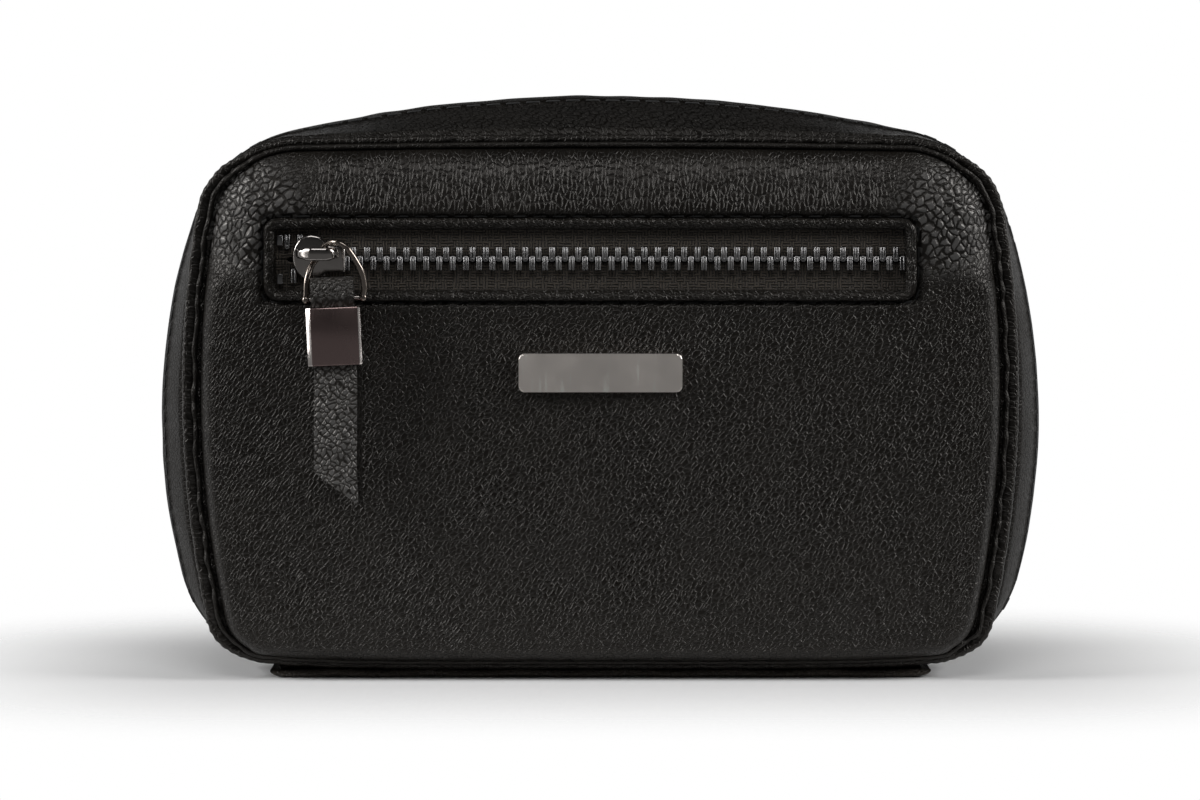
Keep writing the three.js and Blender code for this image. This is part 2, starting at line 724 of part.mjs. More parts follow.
function addNameplate() {
  const shape = roundRect(0, PLATE_Z, PLATE_LENGTH, PLATE_HEIGHT, PLATE_CORNER);
  const plate = extrudeY(shape, -FACE - PLATE_THICK, -FACE, PLATE_BEVEL);
  const backingBack = -FACE + TAPE_IN + TAPE;
  add("nameplate", unite(plate, ...postRods(POST_R, -FACE - PLATE_THICK / 2, backingBack)), nickel);
  const strip = roundRect(0, PLATE_Z, POST_SPAN + 2 * BACKING_MARGIN, 2 * BACKING_MARGIN, BACKING_MARGIN / 2);
  const backing = extrudeY(strip, -FACE + TAPE_IN, backingBack);
  add("nameplate_backing", cut(backing, ...postHoles()), gunmetal);
}

// Pocket slider: two plates joined by the wedge, and the bridge on the front plate

function addPocketSlider() {
  const mouth = SLIDER_MOUTH / 2;
  const nose = SLIDER_NOSE / 2;
  const half = SLIDER_LENGTH / 2;
  const shield = polygon([
    [SLIDER_X - half, POCKET_Z - nose],
    [SLIDER_X - half / 2, POCKET_Z - mouth],
    [SLIDER_X, POCKET_Z - mouth],
    [SLIDER_X + half, POCKET_Z - nose],
    [SLIDER_X + half, POCKET_Z + nose],
    [SLIDER_X, POCKET_Z + mouth],
    [SLIDER_X - half / 2, POCKET_Z + mouth],
    [SLIDER_X - half, POCKET_Z + nose],
  ]);
  const frontPlate = -FACE + SLIDER_IN;
  const backPlate = -FACE + SLIDER_BACK_IN;
  const wedgeFrom = SLIDER_X - half + WEDGE_SETBACK;
  const wedge = polygon([
    [wedgeFrom, POCKET_Z - WEDGE_WIDTH / 2],
    [wedgeFrom + WEDGE_LENGTH, POCKET_Z - WEDGE_WIDTH / 4],
    [wedgeFrom + WEDGE_LENGTH, POCKET_Z + WEDGE_WIDTH / 4],
    [wedgeFrom, POCKET_Z + WEDGE_WIDTH / 2],
  ]);
  const body = unite(
    extrudeY(shield, frontPlate, frontPlate + SLIDER_PLATE, CLAMP_BEVEL),
    extrudeY(shield, backPlate, backPlate + SLIDER_PLATE),
    extrudeY(wedge, frontPlate + SLIDER_PLATE / 2, backPlate + SLIDER_PLATE / 2),
  );
  add("slider_body", body, gunmetal);
  const top = BRIDGE_AXIS_Y - BRIDGE_BAR / 2;
  const under = BRIDGE_AXIS_Y + BRIDGE_BAR / 2;
  const foot = frontPlate - BRAZE;
  const reach = BRIDGE_LENGTH / 2;
  const arch = polygon([
    [SLIDER_X - reach, foot],
    [SLIDER_X - reach, under],
    [SLIDER_X - reach + BRIDGE_FOOT, top],
    [SLIDER_X + reach - BRIDGE_FOOT, top],
    [SLIDER_X + reach, under],
    [SLIDER_X + reach, foot],
    [SLIDER_X + reach - BRIDGE_FOOT, foot],
    [SLIDER_X + reach - BRIDGE_FOOT, under],
    [SLIDER_X - reach + BRIDGE_FOOT, under],
    [SLIDER_X - reach + BRIDGE_FOOT, foot],
  ]);
  const halfHeight = BRIDGE_HEIGHT / 2;
  add("slider_bridge", extrudeZ(arch, BRIDGE_AXIS_Z - halfHeight, BRIDGE_AXIS_Z + halfHeight), gunmetal);
}

// Pull

// The pull is built from the middle of the bridge's bar and hangs a little askew
function addPull() {
  const pull = new THREE.Group();
  pull.position.set(SLIDER_X, BRIDGE_AXIS_Y, BRIDGE_AXIS_Z);
  pull.rotation.y = -THREE.MathUtils.degToRad(PULL_TILT);
  part.add(pull);
  const pinY = PULL_Y - BRIDGE_AXIS_Y;
  const pinZ = -WIRE_DROP;
  const pinLeft = WIRE_LEFT;
  const pinRight = WIRE_RIGHT - WIRE_TUCK;
  const section = new THREE.Shape().absarc(0, 0, WIRE_R, 0, 2 * Math.PI);
  const route = wireRoute(pinY, pinRight);
  const wire = new THREE.ExtrudeGeometry(section, { steps: 32, curveSegments: 4, extrudePath: route });
  const ball = (x) => new THREE.SphereGeometry(BALL_R, 10, 7).translate(x, pinY, pinZ);
  const bore = rodAlongX(pinLeft - 2 * BALL_R, pinRight + 2 * BALL_R, pinY, pinZ, PIN_R + SEAM / 2);
  add("pull_wire", cut(unite(wire, ball(pinLeft), ball(pinRight)), bore), gunmetal, pull);
  const pinEnd = BALL_R + SEAM;
  add("pull_pin", rodAlongX(pinLeft - pinEnd, pinRight + pinEnd, pinY, pinZ, PIN_R), gunmetal, pull);
  addStrap(pull, (pinLeft + pinRight) / 2, pinY, pinZ);
}

// The horseshoe comes up from the pin, goes behind the bar, over it and down in front
function wireRoute(pinY, pinRight) {
  const span = WIRE_RIGHT - WIRE_LEFT;
  const leg = (share) => pinY + share * (WIRE_ORBIT - pinY);
  return new THREE.CatmullRomCurve3(
    [
      [0, pinY, -WIRE_DROP],
      [0.03, leg(0.3), -0.55 * WIRE_DROP],
      [0.12, leg(0.8), -0.22 * WIRE_DROP],
      [0.26, WIRE_ORBIT, 0],
      [0.38, 0.45 * WIRE_ORBIT, 0.82 * WIRE_RISE],
      [0.55, -0.4 * WIRE_ORBIT, WIRE_RISE],
      [0.72, -0.72 * WIRE_ORBIT, 0.62 * WIRE_RISE],
      [0.87, -0.6 * WIRE_ORBIT, -0.12 * WIRE_DROP],
      [0.97, -0.36 * WIRE_ORBIT, -0.43 * WIRE_DROP],
      [1, -0.1 * WIRE_ORBIT, -0.75 * WIRE_DROP],
      [(pinRight - WIRE_LEFT) / span, pinY, -WIRE_DROP],
    ].map(([share, y, z]) => new THREE.Vector3(WIRE_LEFT + share * span, y, z)),
  );
}

// Strap: two leaves with a fold round the pin, cut slanting at the foot, and the clamp round both leaves
function addStrap(pull, x, pinY, pinZ) {
  const half = STRAP_WIDTH / 2;
  const foldR = PIN_R + RUN + STRAP_LEAF;
  const clampTop = pinZ - CLAMP_DROP;
  const clampFoot = clampTop - CLAMP_HEIGHT;
  const foldTop = pinZ + STRAP_FOLD - foldR;
  const fold = new THREE.Shape();
  fold.moveTo(pinY - STRAP_LEAF, clampTop);
  fold.lineTo(pinY + STRAP_LEAF, clampTop);
  fold.lineTo(pinY + foldR, pinZ);
  fold.lineTo(pinY + foldR, foldTop);
  fold.absarc(pinY, foldTop, foldR, 0, Math.PI);
  fold.lineTo(pinY - foldR, pinZ);
  const foot = pinZ - STRAP_DROP;
  const leaf = (shift) =>
    polygon([
      [x - half + shift - STRAP_LEAN, foot],
      [x + half + shift - STRAP_LEAN, foot - STRAP_SLANT],
      [x + half + shift, clampFoot],
      [x + half, clampFoot + STRAP_SHIFT],
      [x + half, clampTop + SEAM],
      [x - half, clampTop + SEAM],
      [x - half, clampFoot + STRAP_SHIFT],
      [x - half + shift, clampFoot],
    ]);
  const strap = unite(
    extrudeX(fold, x - half, x + half),
    extrudeY(leaf(0), pinY - STRAP_LEAF, pinY + LEAF_WELD),
    extrudeY(leaf(STRAP_SHIFT), pinY, pinY + STRAP_LEAF),
  );
  const bore = rodAlongX(x - STRAP_WIDTH, x + STRAP_WIDTH, pinY, pinZ, PIN_R + RUN);
  add("tab_leather", cut(strap, bore), edgeLeather, pull);
  const block = extrudeY(
    roundRect(x, (clampTop + clampFoot) / 2, CLAMP_WIDTH, CLAMP_HEIGHT, CLAMP_WALL),
    pinY - CLAMP_HALF,
    pinY + CLAMP_HALF,
    CLAMP_BEVEL,
    2,
  );
  const slotHalf = STRAP_LEAF + SEAM;
  const slotReach = half + STRAP_SHIFT + SEAM;
  const slot = box(
    x - slotReach,
    x + slotReach,
    pinY - slotHalf,
    pinY + slotHalf,
    clampFoot - CLAMP_WALL,
    clampTop + CLAMP_WALL,
  );
  add("tab_clamp", cut(block, slot), gunmetal, pull);
}

// Main slider, in a frame at the centre of the bowed side: X outwards, Z along the zip

function addMainSlider() {
  const centre = sideCentre(CREST.shoulder, CREST.foot, CREST_SIDE_BOW);
  const footAngle = Math.atan2(CREST_FOOT_Z - centre.z, CREST_FOOT_X - centre.x);
  const middle = CREST_SIDE_BOW - GUSSET - SEAM - TAPE / 2;
  const halfLength = MAIN_SLIDER_LENGTH / 2;
  const frame = new THREE.Group();
  frame.position.set(centre.x, 0, centre.z);
  frame.rotation.y = -(footAngle + (halfLength + RUN + MAIN_SLIDER_PARK) / middle);
  part.add(frame);
  const inner = COIL_THICK / 2 + MAIN_SLIDER_ROOM;
  const outer = inner + MAIN_SLIDER_PLATE;
  const width = MAIN_SLIDER_WIDTH / 2;
  const wedge = MAIN_WEDGE_WIDTH / 2;
  const body = unite(
    box(middle + inner, middle + outer, -width, width, -halfLength, halfLength),
    box(middle - outer, middle - inner, -width, width, -halfLength, halfLength),
    box(middle - outer, middle + outer, -wedge, wedge, -halfLength, -halfLength / 3),
  );
  add("main_slider_body", body, gunmetal, frame);
  const plate = middle + outer;
  const rodR = MAIN_PULL_ROD_R;
  const foot = plate + BRAZE;
  const under = plate + 2 * rodR + 2 * SEAM;
  const top = under + MAIN_BRIDGE_BAR;
  const reach = MAIN_BRIDGE_LENGTH / 2;
  const post = MAIN_BRIDGE_BAR;
  const arch = polygon([
    [foot, -reach],
    [under, -reach],
    [top, -reach + post],
    [top, reach - post],
    [under, reach],
    [foot, reach],
    [foot, reach - post],
    [under, reach - post],
    [under, -reach + post],
    [foot, -reach + post],
  ]);
  add("main_slider_bridge", extrudeAcross(arch, MAIN_BRIDGE_WIDTH), gunmetal, frame);
  add("main_pull", mainPull(plate + SEAM + rodR, middle + COIL_THICK / 2), gunmetal, frame);
}

// A profile of outward and along, given a width across the zip
function extrudeAcross(shape, width) {
  const made = new THREE.ExtrudeGeometry(shape, { depth: width, bevelEnabled: false, curveSegments: 4 });
  const turn = new THREE.Matrix4().makeBasis(
    new THREE.Vector3(1, 0, 0),
    new THREE.Vector3(0, 0, 1),
    new THREE.Vector3(0, -1, 0),
  );
  return made.applyMatrix4(turn).translate(0, width / 2, 0);
}

// Pull of the main slider: a rod under the bridge, two arms past it, and a plate stepped down to the zip
function mainPull(rod, coilTop) {
  const thin = MAIN_PULL_THICK / 2;
  const plateFoot = -MAIN_SLIDER_LENGTH / 2 - RUN;
  const step = coilTop + MAIN_PULL_CLEAR + thin;
  const profile = polygon([
    [rod + thin, thin],
    [rod - thin, thin],
    [rod - thin, plateFoot],
    [step - thin, plateFoot - MAIN_PULL_THICK],
    [step - thin, -MAIN_PULL_LENGTH],
    [step + thin, -MAIN_PULL_LENGTH],
    [step + thin, plateFoot - MAIN_PULL_THICK],
    [rod + thin, plateFoot],
  ]);
  const eye = MAIN_BRIDGE_WIDTH / 2 + RUN;
  const window = box(
    rod - MAIN_PULL_THICK,
    rod + MAIN_PULL_THICK,
    -eye,
    eye,
    plateFoot + RUN,
    -MAIN_PULL_ROD_R,
  );
  return cut(extrudeAcross(profile, 2 * (eye + MAIN_PULL_ARM)), window);
}

// Fittings inside

function addFrontFittings() {
  const face = -FACE + FRONT_FOAM_IN + FRONT_FOAM + BOARD + LINING + 3 * SEAM;
  const middle = (SLIP_FOOT_Z + SLIP_TOP_Z) / 2;
  const sheet = roundRect(0, middle, SLIP_LENGTH, SLIP_TOP_Z - SLIP_FOOT_Z, SLIP_CORNER);
  add("slip_pocket", extrudeY(sheet, face, face + SLIP_CLOTH), liningCloth);
  const bound = SLIP_LENGTH / 2 - SLIP_CORNER;
  const edge = SLIP_TOP_Z + SEAM;
  add(
    "slip_pocket_binding",
    box(-bound, bound, face, face + BINDING_THICK, edge, edge + BINDING_HEIGHT),
    elastic,
  );
}

function addRearFittings() {
  const face = FACE - REAR_FOAM_IN - REAR_FOAM - BOARD - LINING - 3 * SEAM;
  const band = roundRect(STRAP_BAND_X, STRAP_BAND_Z, STRAP_BAND_LENGTH, STRAP_BAND_HEIGHT, ELASTIC);
  add("meter_strap", extrudeY(band, face - ELASTIC, face), elastic);
  const bore = LOOP_BORE / 2;
  const arch = bore + ELASTIC;
  const flange = arch + LOOP_FLANGE;
  const spring = Math.asin(ELASTIC / arch);
  const loop = new THREE.Shape();
  loop.moveTo(LOOP_X - flange, face);
  loop.lineTo(LOOP_X - flange, face - ELASTIC);
  loop.absarc(LOOP_X, face, arch, Math.PI + spring, 2 * Math.PI - spring);
  loop.lineTo(LOOP_X + flange, face - ELASTIC);
  loop.lineTo(LOOP_X + flange, face);
  loop.absarc(LOOP_X, face, bore, 0, -Math.PI, true);
  add("pen_loop", extrudeZ(loop, LOOP_Z - LOOP_HEIGHT / 2, LOOP_Z + LOOP_HEIGHT / 2), elastic);
}
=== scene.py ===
# Looks of a zip-round meter case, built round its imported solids.
# Points are worked out in millimetres and become metres when a mesh is made.
# A shape is a pair of points and faces.
import math

import bmesh
import bpy
import numpy as np
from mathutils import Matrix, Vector
from mathutils.geometry import delaunay_2d_cdt


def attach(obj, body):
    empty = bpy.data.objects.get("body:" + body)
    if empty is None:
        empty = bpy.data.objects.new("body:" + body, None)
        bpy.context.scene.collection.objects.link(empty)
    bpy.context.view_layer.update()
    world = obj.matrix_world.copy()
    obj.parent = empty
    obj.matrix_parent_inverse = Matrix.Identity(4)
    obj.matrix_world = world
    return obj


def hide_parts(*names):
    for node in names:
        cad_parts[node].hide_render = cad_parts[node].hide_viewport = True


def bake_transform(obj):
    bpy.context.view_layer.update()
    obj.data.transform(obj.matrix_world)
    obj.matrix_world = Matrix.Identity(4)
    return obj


MM = 0.001

# Seams as corner centres with radii, and the bows of top and sides
PIPING = {"shoulder": (62.0, 91.8, 18.6), "foot": (68.0, 14.4, 10.8), "top_bow": 2880.0, "side_bow": 222.0}
CREST = {"shoulder": (57.6, 84.3, 28.9), "foot": (63.7, 26.3, 24.7), "top_bow": 288.0, "side_bow": 131.5}
SPINE_HALF = 68.6
LEAST_CORNER = 1.5
ARC_COUNT = 8
FOOT_BOW = 1.2  # how far the lower seam hangs between its ends

# Depths from the parting plane
PIPING_Y = 24.4
GUSSET_START = 22.9
CREST_Y = 6.5
HEM_Y = 5.0
CROWN = 6.0
CROWN_WIDTH = 13.0
CROWN_START = 2.15  # from the seam
CROWN_SINK = 0.5  # below the seam's plane
FACE = PIPING_Y + CROWN
GUSSET = 4.8
LEATHER = 1.1

# Pocket
POCKET_X = -2.1
POCKET_Z = 86.2
POCKET_CORNER = 1.0
POCKET_HALF_X = 64.0 - POCKET_CORNER  # from its middle to the centres of its corners
POCKET_HALF_Z = 6.05 - POCKET_CORNER
SQUARE = 6.0  # how square the corners of the pocket's frame are; 2 is round
CREASE = 2.75  # stitched crease round the pocket, from its opening
STITCH_PITCH = 4.0
STITCH_FLAT = 0.8

# Zip and pull
TOOTH_PITCH = 2.69
SLIDER_X = -57.2
BAR_Y = -34.4147
BAR_Z = 87.1
PULL_TILT = math.radians(2.5)
PIN_Y = -34.0 - BAR_Y
PIN_DROP = -8.8
WIRE_LEFT = -2.8
WIRE_SPAN = 12.0
STRAP_X = 2.6  # middle of the strap from the bar's middle

# Nameplate
PLATE_Z = 63.2
PLATE_WIDTH = 33.3
PLATE_HEIGHT = 7.8

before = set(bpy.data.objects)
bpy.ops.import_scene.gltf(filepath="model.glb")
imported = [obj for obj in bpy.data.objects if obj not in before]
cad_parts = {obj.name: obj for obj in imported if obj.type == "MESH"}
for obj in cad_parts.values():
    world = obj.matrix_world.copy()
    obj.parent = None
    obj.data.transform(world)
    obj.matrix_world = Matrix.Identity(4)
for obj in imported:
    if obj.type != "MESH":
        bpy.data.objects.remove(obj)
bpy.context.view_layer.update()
rng = np.random.default_rng(7)


# Basic helpers

def smooth_step(low, high, value):
    share = np.clip((np.asarray(value, float) - low) / (high - low), 0, 1)
    return share * share * (3 - 2 * share)


def bell(value, middle, width):
    return np.exp(-(((np.asarray(value, float) - middle) / width) ** 2))


def ripple(count, waves, seed):
    """A function of one length in mm: a sum of sines whose wavelengths lie about the given one"""
    own = np.random.default_rng(seed)
    lengths = waves * own.uniform(0.75, 1.35, count)
    shifts = own.uniform(0, 2 * math.pi, count)
    sizes = own.uniform(0.5, 1.0, count)
    sizes /= np.sqrt((sizes**2).sum() / 2)

    def value(along):
        turns = 2 * math.pi * np.asarray(along, float)[..., None] / lengths + shifts
        return (np.sin(turns) * sizes).sum(-1)

    return value


def swell(count, size, seed):
    """A function of a place in mm: a sum of plane waves in many directions"""
    own = np.random.default_rng(seed)
    ways = own.uniform(0, 2 * math.pi, count)
    lengths = size * own.uniform(0.7, 1.6, count)
    shifts = own.uniform(0, 2 * math.pi, count)

    def value(x, z):
        x = np.asarray(x, float)[..., None]
        z = np.asarray(z, float)[..., None]
        run = (x * np.cos(ways) + z * np.sin(ways)) / lengths
        return np.sin(2 * math.pi * run + shifts).sum(-1) / math.sqrt(count / 2)

    return value


def unit(vectors):
    return vectors / np.linalg.norm(vectors, axis=-1, keepdims=True)


def circle(sides):
    """Angles of evenly spaced places round a circle"""
    return np.arange(sides) * 2 * math.pi / sides


def run_along(places):
    """Length along a line at each of its places"""
    return np.concatenate([[0.0], np.cumsum(np.linalg.norm(np.diff(places, axis=0), axis=1))])


def left_of(line):
    """Unit vectors to the left of a flat line"""
    ahead = unit(np.gradient(line, axis=0))
    return np.column_stack([-ahead[:, 1], ahead[:, 0]])


def at_depth(places, depth):
    """Places in x and z, put at a depth in y"""
    return np.insert(places, 1, depth, axis=1)


def spread(along, across):
    """Flat places of a grid's points, numbered row by row"""
    return np.column_stack([np.repeat(along, len(across)), np.tile(across, len(along))])


def smooth_path(knots, count):
    """A smooth curve through knots, by lengths of a cubic spline"""
    knots = np.asarray(knots, float)
    ends = np.concatenate([[2 * knots[0] - knots[1]], knots, [2 * knots[-1] - knots[-2]]])
    made = []
    for k in range(1, len(ends) - 2):
        p0, p1, p2, p3 = ends[k - 1:k + 3]
        linear = p2 - p0
        square = 2 * p0 - 5 * p1 + 4 * p2 - p3
        cube = 3 * p1 - p0 - 3 * p2 + p3
        for share in np.linspace(0, 1, 14, endpoint=False):
            made.append(0.5 * (2 * p1 + linear * share + square * share**2 + cube * share**3))
    made = np.array([*made, knots[-1]])
    marks = run_along(made)
    even = np.linspace(0, marks[-1], count)
    return np.column_stack([np.interp(even, marks, made[:, k]) for k in range(3)])


# Shapes

def grid(rows, columns, wrap_rows=False, wrap_columns=False):
    """Quads of a grid whose points are numbered row by row"""
    row = np.arange(rows if wrap_rows else rows - 1)[:, None]
    column = np.arange(columns if wrap_columns else columns - 1)[None, :]
    next_row = (row + 1) % rows
    next_column = (column + 1) % columns
    corners = [row * columns + column, row * columns + next_column]
    corners += [next_row * columns + next_column, next_row * columns + column]
    return np.stack(corners, -1).reshape(-1, 4)


def loft(rings):
    """A closed body through rings of points, with a flat cap at both ends"""
    rows, columns = rings.shape[:2]
    faces = grid(rows, columns, wrap_columns=True).tolist()
    faces.append(list(range(columns)))
    faces.append(list(range((rows - 1) * columns, rows * columns)))
    return rings.reshape(-1, 3), faces


def hoop(rings):
    """A body through rings of points that closes on itself"""
    return rings.reshape(-1, 3), grid(*rings.shape[:2], wrap_rows=True, wrap_columns=True)


def shell(outer, inner):
    """A closed sheet between two grids of the same size"""
    rows, columns = outer.shape[:2]
    count = rows * columns
    number = np.arange(count).reshape(rows, columns)
    rim = np.concatenate([number[0, :-1], number[:-1, -1], number[-1, :0:-1], number[:0:-1, 0]])
    ahead = np.roll(rim, -1)
    sides = np.stack([rim, ahead, ahead + count, rim + count], -1)
    skin = grid(rows, columns)
    faces = np.concatenate([skin, skin[:, ::-1] + count, sides])
    return np.concatenate([outer.reshape(-1, 3), inner.reshape(-1, 3)]), faces


def joined(*shapes):
    points = []
    faces = []
    start = 0
    for own_points, own_faces in shapes:
        points.append(np.asarray(own_points, float))
        faces += [[int(k) + start for k in face] for face in own_faces]
        start += len(own_points)
    return np.concatenate(points), faces


def triangles(spots):
    """A flat net of triangles over places"""
    found = delaunay_2d_cdt([Vector(spot) for spot in spots.tolist()], [], [], 0, 1e-6)
    return np.array([spot[:] for spot in found[0]]), np.array(found[2])


def capsules(spots, ways, ups, length, radius):
    """Short round rods, such as stitches, each with its middle, direction and up"""
    turn = np.linspace(-math.pi / 2, math.pi / 2, 10)
    along = (np.sin(turn) * radius + np.sign(turn) * (length / 2 - radius))[:, None, None]
    width = np.maximum(np.cos(turn) * radius, radius * 0.12)[:, None, None]
    cos = np.cos(circle(8))[:, None]
    sin = np.sin(circle(8))[:, None]
    rods = []
    for spot, way, up in zip(spots, ways, ups):
        section = width * cos * np.cross(way, up) + width * sin * up * STITCH_FLAT
        rods.append(loft(spot + along * way + section))
    return joined(*rods)


def tube(path, radius, sides, round_ends=False):
    """A round rod along a path"""
    path = np.asarray(path, float)
    radius = np.broadcast_to(np.asarray(radius, float), (len(path),))
    if round_ends:
        reach = np.array((1.0, 0.75, 0.4))[:, None]
        ease = np.array((0.25, 0.7, 0.93))
        head = path[0] + unit(path[0] - path[1]) * radius[0] * reach
        tail = path[-1] + unit(path[-1] - path[-2]) * radius[-1] * reach[::-1]
        path = np.concatenate([head, path, tail])
        radius = np.concatenate([radius[0] * ease, radius, radius[-1] * ease[::-1]])
    ahead = unit(np.gradient(path, axis=0))
    normal = np.cross(ahead[0], (0.0, 1.0, 0.3))
    cos = np.cos(circle(sides))[:, None]
    sin = np.sin(circle(sides))[:, None]
    rings = []
    for spot, way, size in zip(path, ahead, radius):
        normal = unit(normal - way * np.dot(normal, way))
        rings.append(spot + size * (cos * normal + sin * np.cross(way, normal)))
    return loft(np.array(rings))


def ball(centre, radius):
    turn = np.linspace(-math.pi / 2, math.pi / 2, 11)
    path = np.array(centre) + (radius * np.sin(turn))[:, None] * (1.0, 0.0, 0.0)
    return tube(path, np.maximum(radius * np.cos(turn), 0.06), 16)


def rounded_prism(corners, low, high, bevel, segments=3, axes="xz"):
    """A prism over corners in two axes, between two levels of the third, with rounded edges"""
    first, second = ("xyz".index(axis) for axis in axes)
    third = 3 - first - second
    work = bmesh.new()
    rims = []
    for level in (low, high):
        places = np.full((len(corners), 3), level, float)
        places[:, (first, second)] = corners
        rims.append([work.verts.new(place) for place in places.tolist()])
    lower, upper = rims
    work.faces.new(lower)
    work.faces.new(upper[::-1])
    for k in range(len(corners)):
        after = (k + 1) % len(corners)
        work.faces.new([lower[k], upper[k], upper[after], lower[after]])
    if bevel:
        flat = [edge for edge in work.edges if abs(edge.verts[0].co[third] - edge.verts[1].co[third]) < 1e-6]
        bmesh.ops.bevel(work, geom=flat, offset=bevel, segments=segments, profile=0.5, affect="EDGES")
    work.verts.index_update()
    points = np.array([vert.co[:] for vert in work.verts])
    faces = [[vert.index for vert in face.verts] for face in work.faces]
    work.free()
    return points, faces


def domed_plate(corners, front, back, dome, edge):
    """A plate over corners in x and z, with a soft front edge and a slightly domed front"""
    corners = np.asarray(corners, float)
    middle = corners.mean(0)
    inset = edge / np.linalg.norm(corners - middle, axis=1).mean()
    levels = [(1 - inset, back), (1.0, back - edge * 0.5), (1.0, front + edge)]
    for angle in np.radians((30, 60, 90)):
        levels.append((1 - inset * (1 - math.cos(angle)), front + edge * (1 - math.sin(angle))))
    for share in (0.85, 0.65, 0.4, 0.15):
        levels.append(((1 - inset) * share, front - dome * (1 - share**2)))
    return loft(np.array([at_depth(middle + (corners - middle) * scale, level) for scale, level in levels]))


def rounded_rect(x, z, width, height, radius, steps):
    corners = []
    for turn, sx, sz in ((-90, 1, -1), (0, 1, 1), (90, -1, 1), (180, -1, -1)):
        centre_x = x + sx * (width / 2 - radius)
        centre_z = z + sz * (height / 2 - radius)
        for angle in np.radians(np.linspace(turn, turn + 90, steps + 1)):
            corners.append((centre_x + radius * math.cos(angle), centre_z + radius * math.sin(angle)))
    return corners


# Objects

def new_object(name, data):
    made = bpy.data.objects.new(name, data)
    bpy.context.scene.collection.objects.link(made)
    return made


def mesh_object(name, shape, material, sharp=80):
    points, faces = shape
    mesh = bpy.data.meshes.new(name)
    mesh.from_pydata((points * MM).tolist(), [], [tuple(int(k) for k in face) for face in faces])
    work = bmesh.new()
    work.from_mesh(mesh)
    bmesh.ops.recalc_face_normals(work, faces=work.faces)
    if work.calc_volume(signed=True) < 0:
        bmesh.ops.reverse_faces(work, faces=work.faces)
    work.to_mesh(mesh)
    work.free()
    mesh.materials.append(material)
    mesh.polygons.foreach_set("use_smooth", np.ones(len(mesh.polygons), bool))
    mesh.set_sharp_from_angle(angle=math.radians(sharp))
    return new_object(name, mesh)


def settle(obj, body, *nodes, slot):
    """Puts a finished piece on its body, in place of its nodes"""
    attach(obj, body)
    if nodes:
        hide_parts(*nodes)
    return obj


def piece(name, shape, material, body, *nodes, slot, sharp=80):
    """A piece of one shape on its body, in place of its nodes"""
    return settle(mesh_object(name, shape, material, sharp), body, *nodes, slot=slot)


def face_along_y(obj, way):
    """Turns an open sheet so that its faces look along y the given way"""
    if np.mean([face.normal.y for face in obj.data.polygons]) * way < 0:
        obj.data.flip_normals()


def thicken(obj, thickness):
    """Gives an open sheet its thickness, behind its face"""
    thick = obj.modifiers.new("thick", "SOLIDIFY")
    thick.thickness = thickness * MM
    thick.offset = -1.0
    thick.use_even_offset = False
    sheet = obj.data
    held = obj.evaluated_get(bpy.context.evaluated_depsgraph_get())
    mesh = bpy.data.meshes.new_from_object(held)
    obj.modifiers.clear()
    obj.data = mesh
    bpy.data.meshes.remove(sheet)


def cloth_marks(obj, grain):
    """Where the cloth's threads or the leather's grain lie, which the materials read"""
    values = np.column_stack([grain, np.zeros(len(grain))]).astype(np.float32)
    obj.data.attributes.new("grain", "FLOAT_VECTOR", "POINT").data.foreach_set("vector", values.ravel())


def leather_marks(obj, grain, upright=0.0, scales_and_sheen=0.0, plain=0.0):
    """Where the leather's grain lies, and how far it is stretched upright, scaly with a painted sheen on its
    pebble tops, or pressed plain
    """
    cloth_marks(obj, grain)
    for name, share in (("upright", upright), ("scales_and_sheen", scales_and_sheen), ("plain", plain)):
        values = np.broadcast_to(share, (len(grain),)).astype(np.float32)
        obj.data.attributes.new(name, "FLOAT", "POINT").data.foreach_set("value", values)


# Seams

def moved_in(corner, inset, way):
    x, z, radius = corner
    kept = max(radius - inset, LEAST_CORNER)
    shift = inset - (radius - kept)
    return x - shift, z + way * shift, kept


def side_centre(shoulder, foot, bow):
    """Centre of the side's arc, which touches the corners' arcs from outside"""
    from_shoulder = bow - shoulder[2]
    from_foot = bow - foot[2]
    span = math.hypot(foot[0] - shoulder[0], foot[1] - shoulder[1])
    ux = (foot[0] - shoulder[0]) / span
    uz = (foot[1] - shoulder[1]) / span
    along = (from_shoulder**2 - from_foot**2 + span**2) / (2 * span)
    across = math.sqrt(from_shoulder**2 - along**2)
    return shoulder[0] + ux * along + uz * across, shoulder[1] + uz * along - ux * across


def arcs(seam, inset=0.0):
    """The arcs of the right half, as centre, radius and the angles where each starts and ends"""
    shoulder = moved_in(seam["shoulder"], inset, -1)
    foot = moved_in(seam["foot"], inset, 1)
    side_bow = seam["side_bow"] - inset
    top_bow = seam["top_bow"] - inset
    side = side_centre(shoulder, foot, side_bow)
    top_z = shoulder[1] - math.sqrt((top_bow - shoulder[2]) ** 2 - shoulder[0] ** 2)
    start = math.asin((SPINE_HALF - seam["foot"][0]) / seam["foot"][2]) - math.pi / 2
    side_from = math.atan2(foot[1] - side[1], foot[0] - side[0])
    side_to = math.atan2(shoulder[1] - side[1], shoulder[0] - side[0])
    top_from = math.atan2(shoulder[1] - top_z, shoulder[0])
    return [
        (*foot, start, side_from),
        (*side, side_bow, side_from, side_to),
        (*shoulder, side_to, top_from),
        (0.0, top_z, top_bow, top_from, math.pi / 2),
    ]


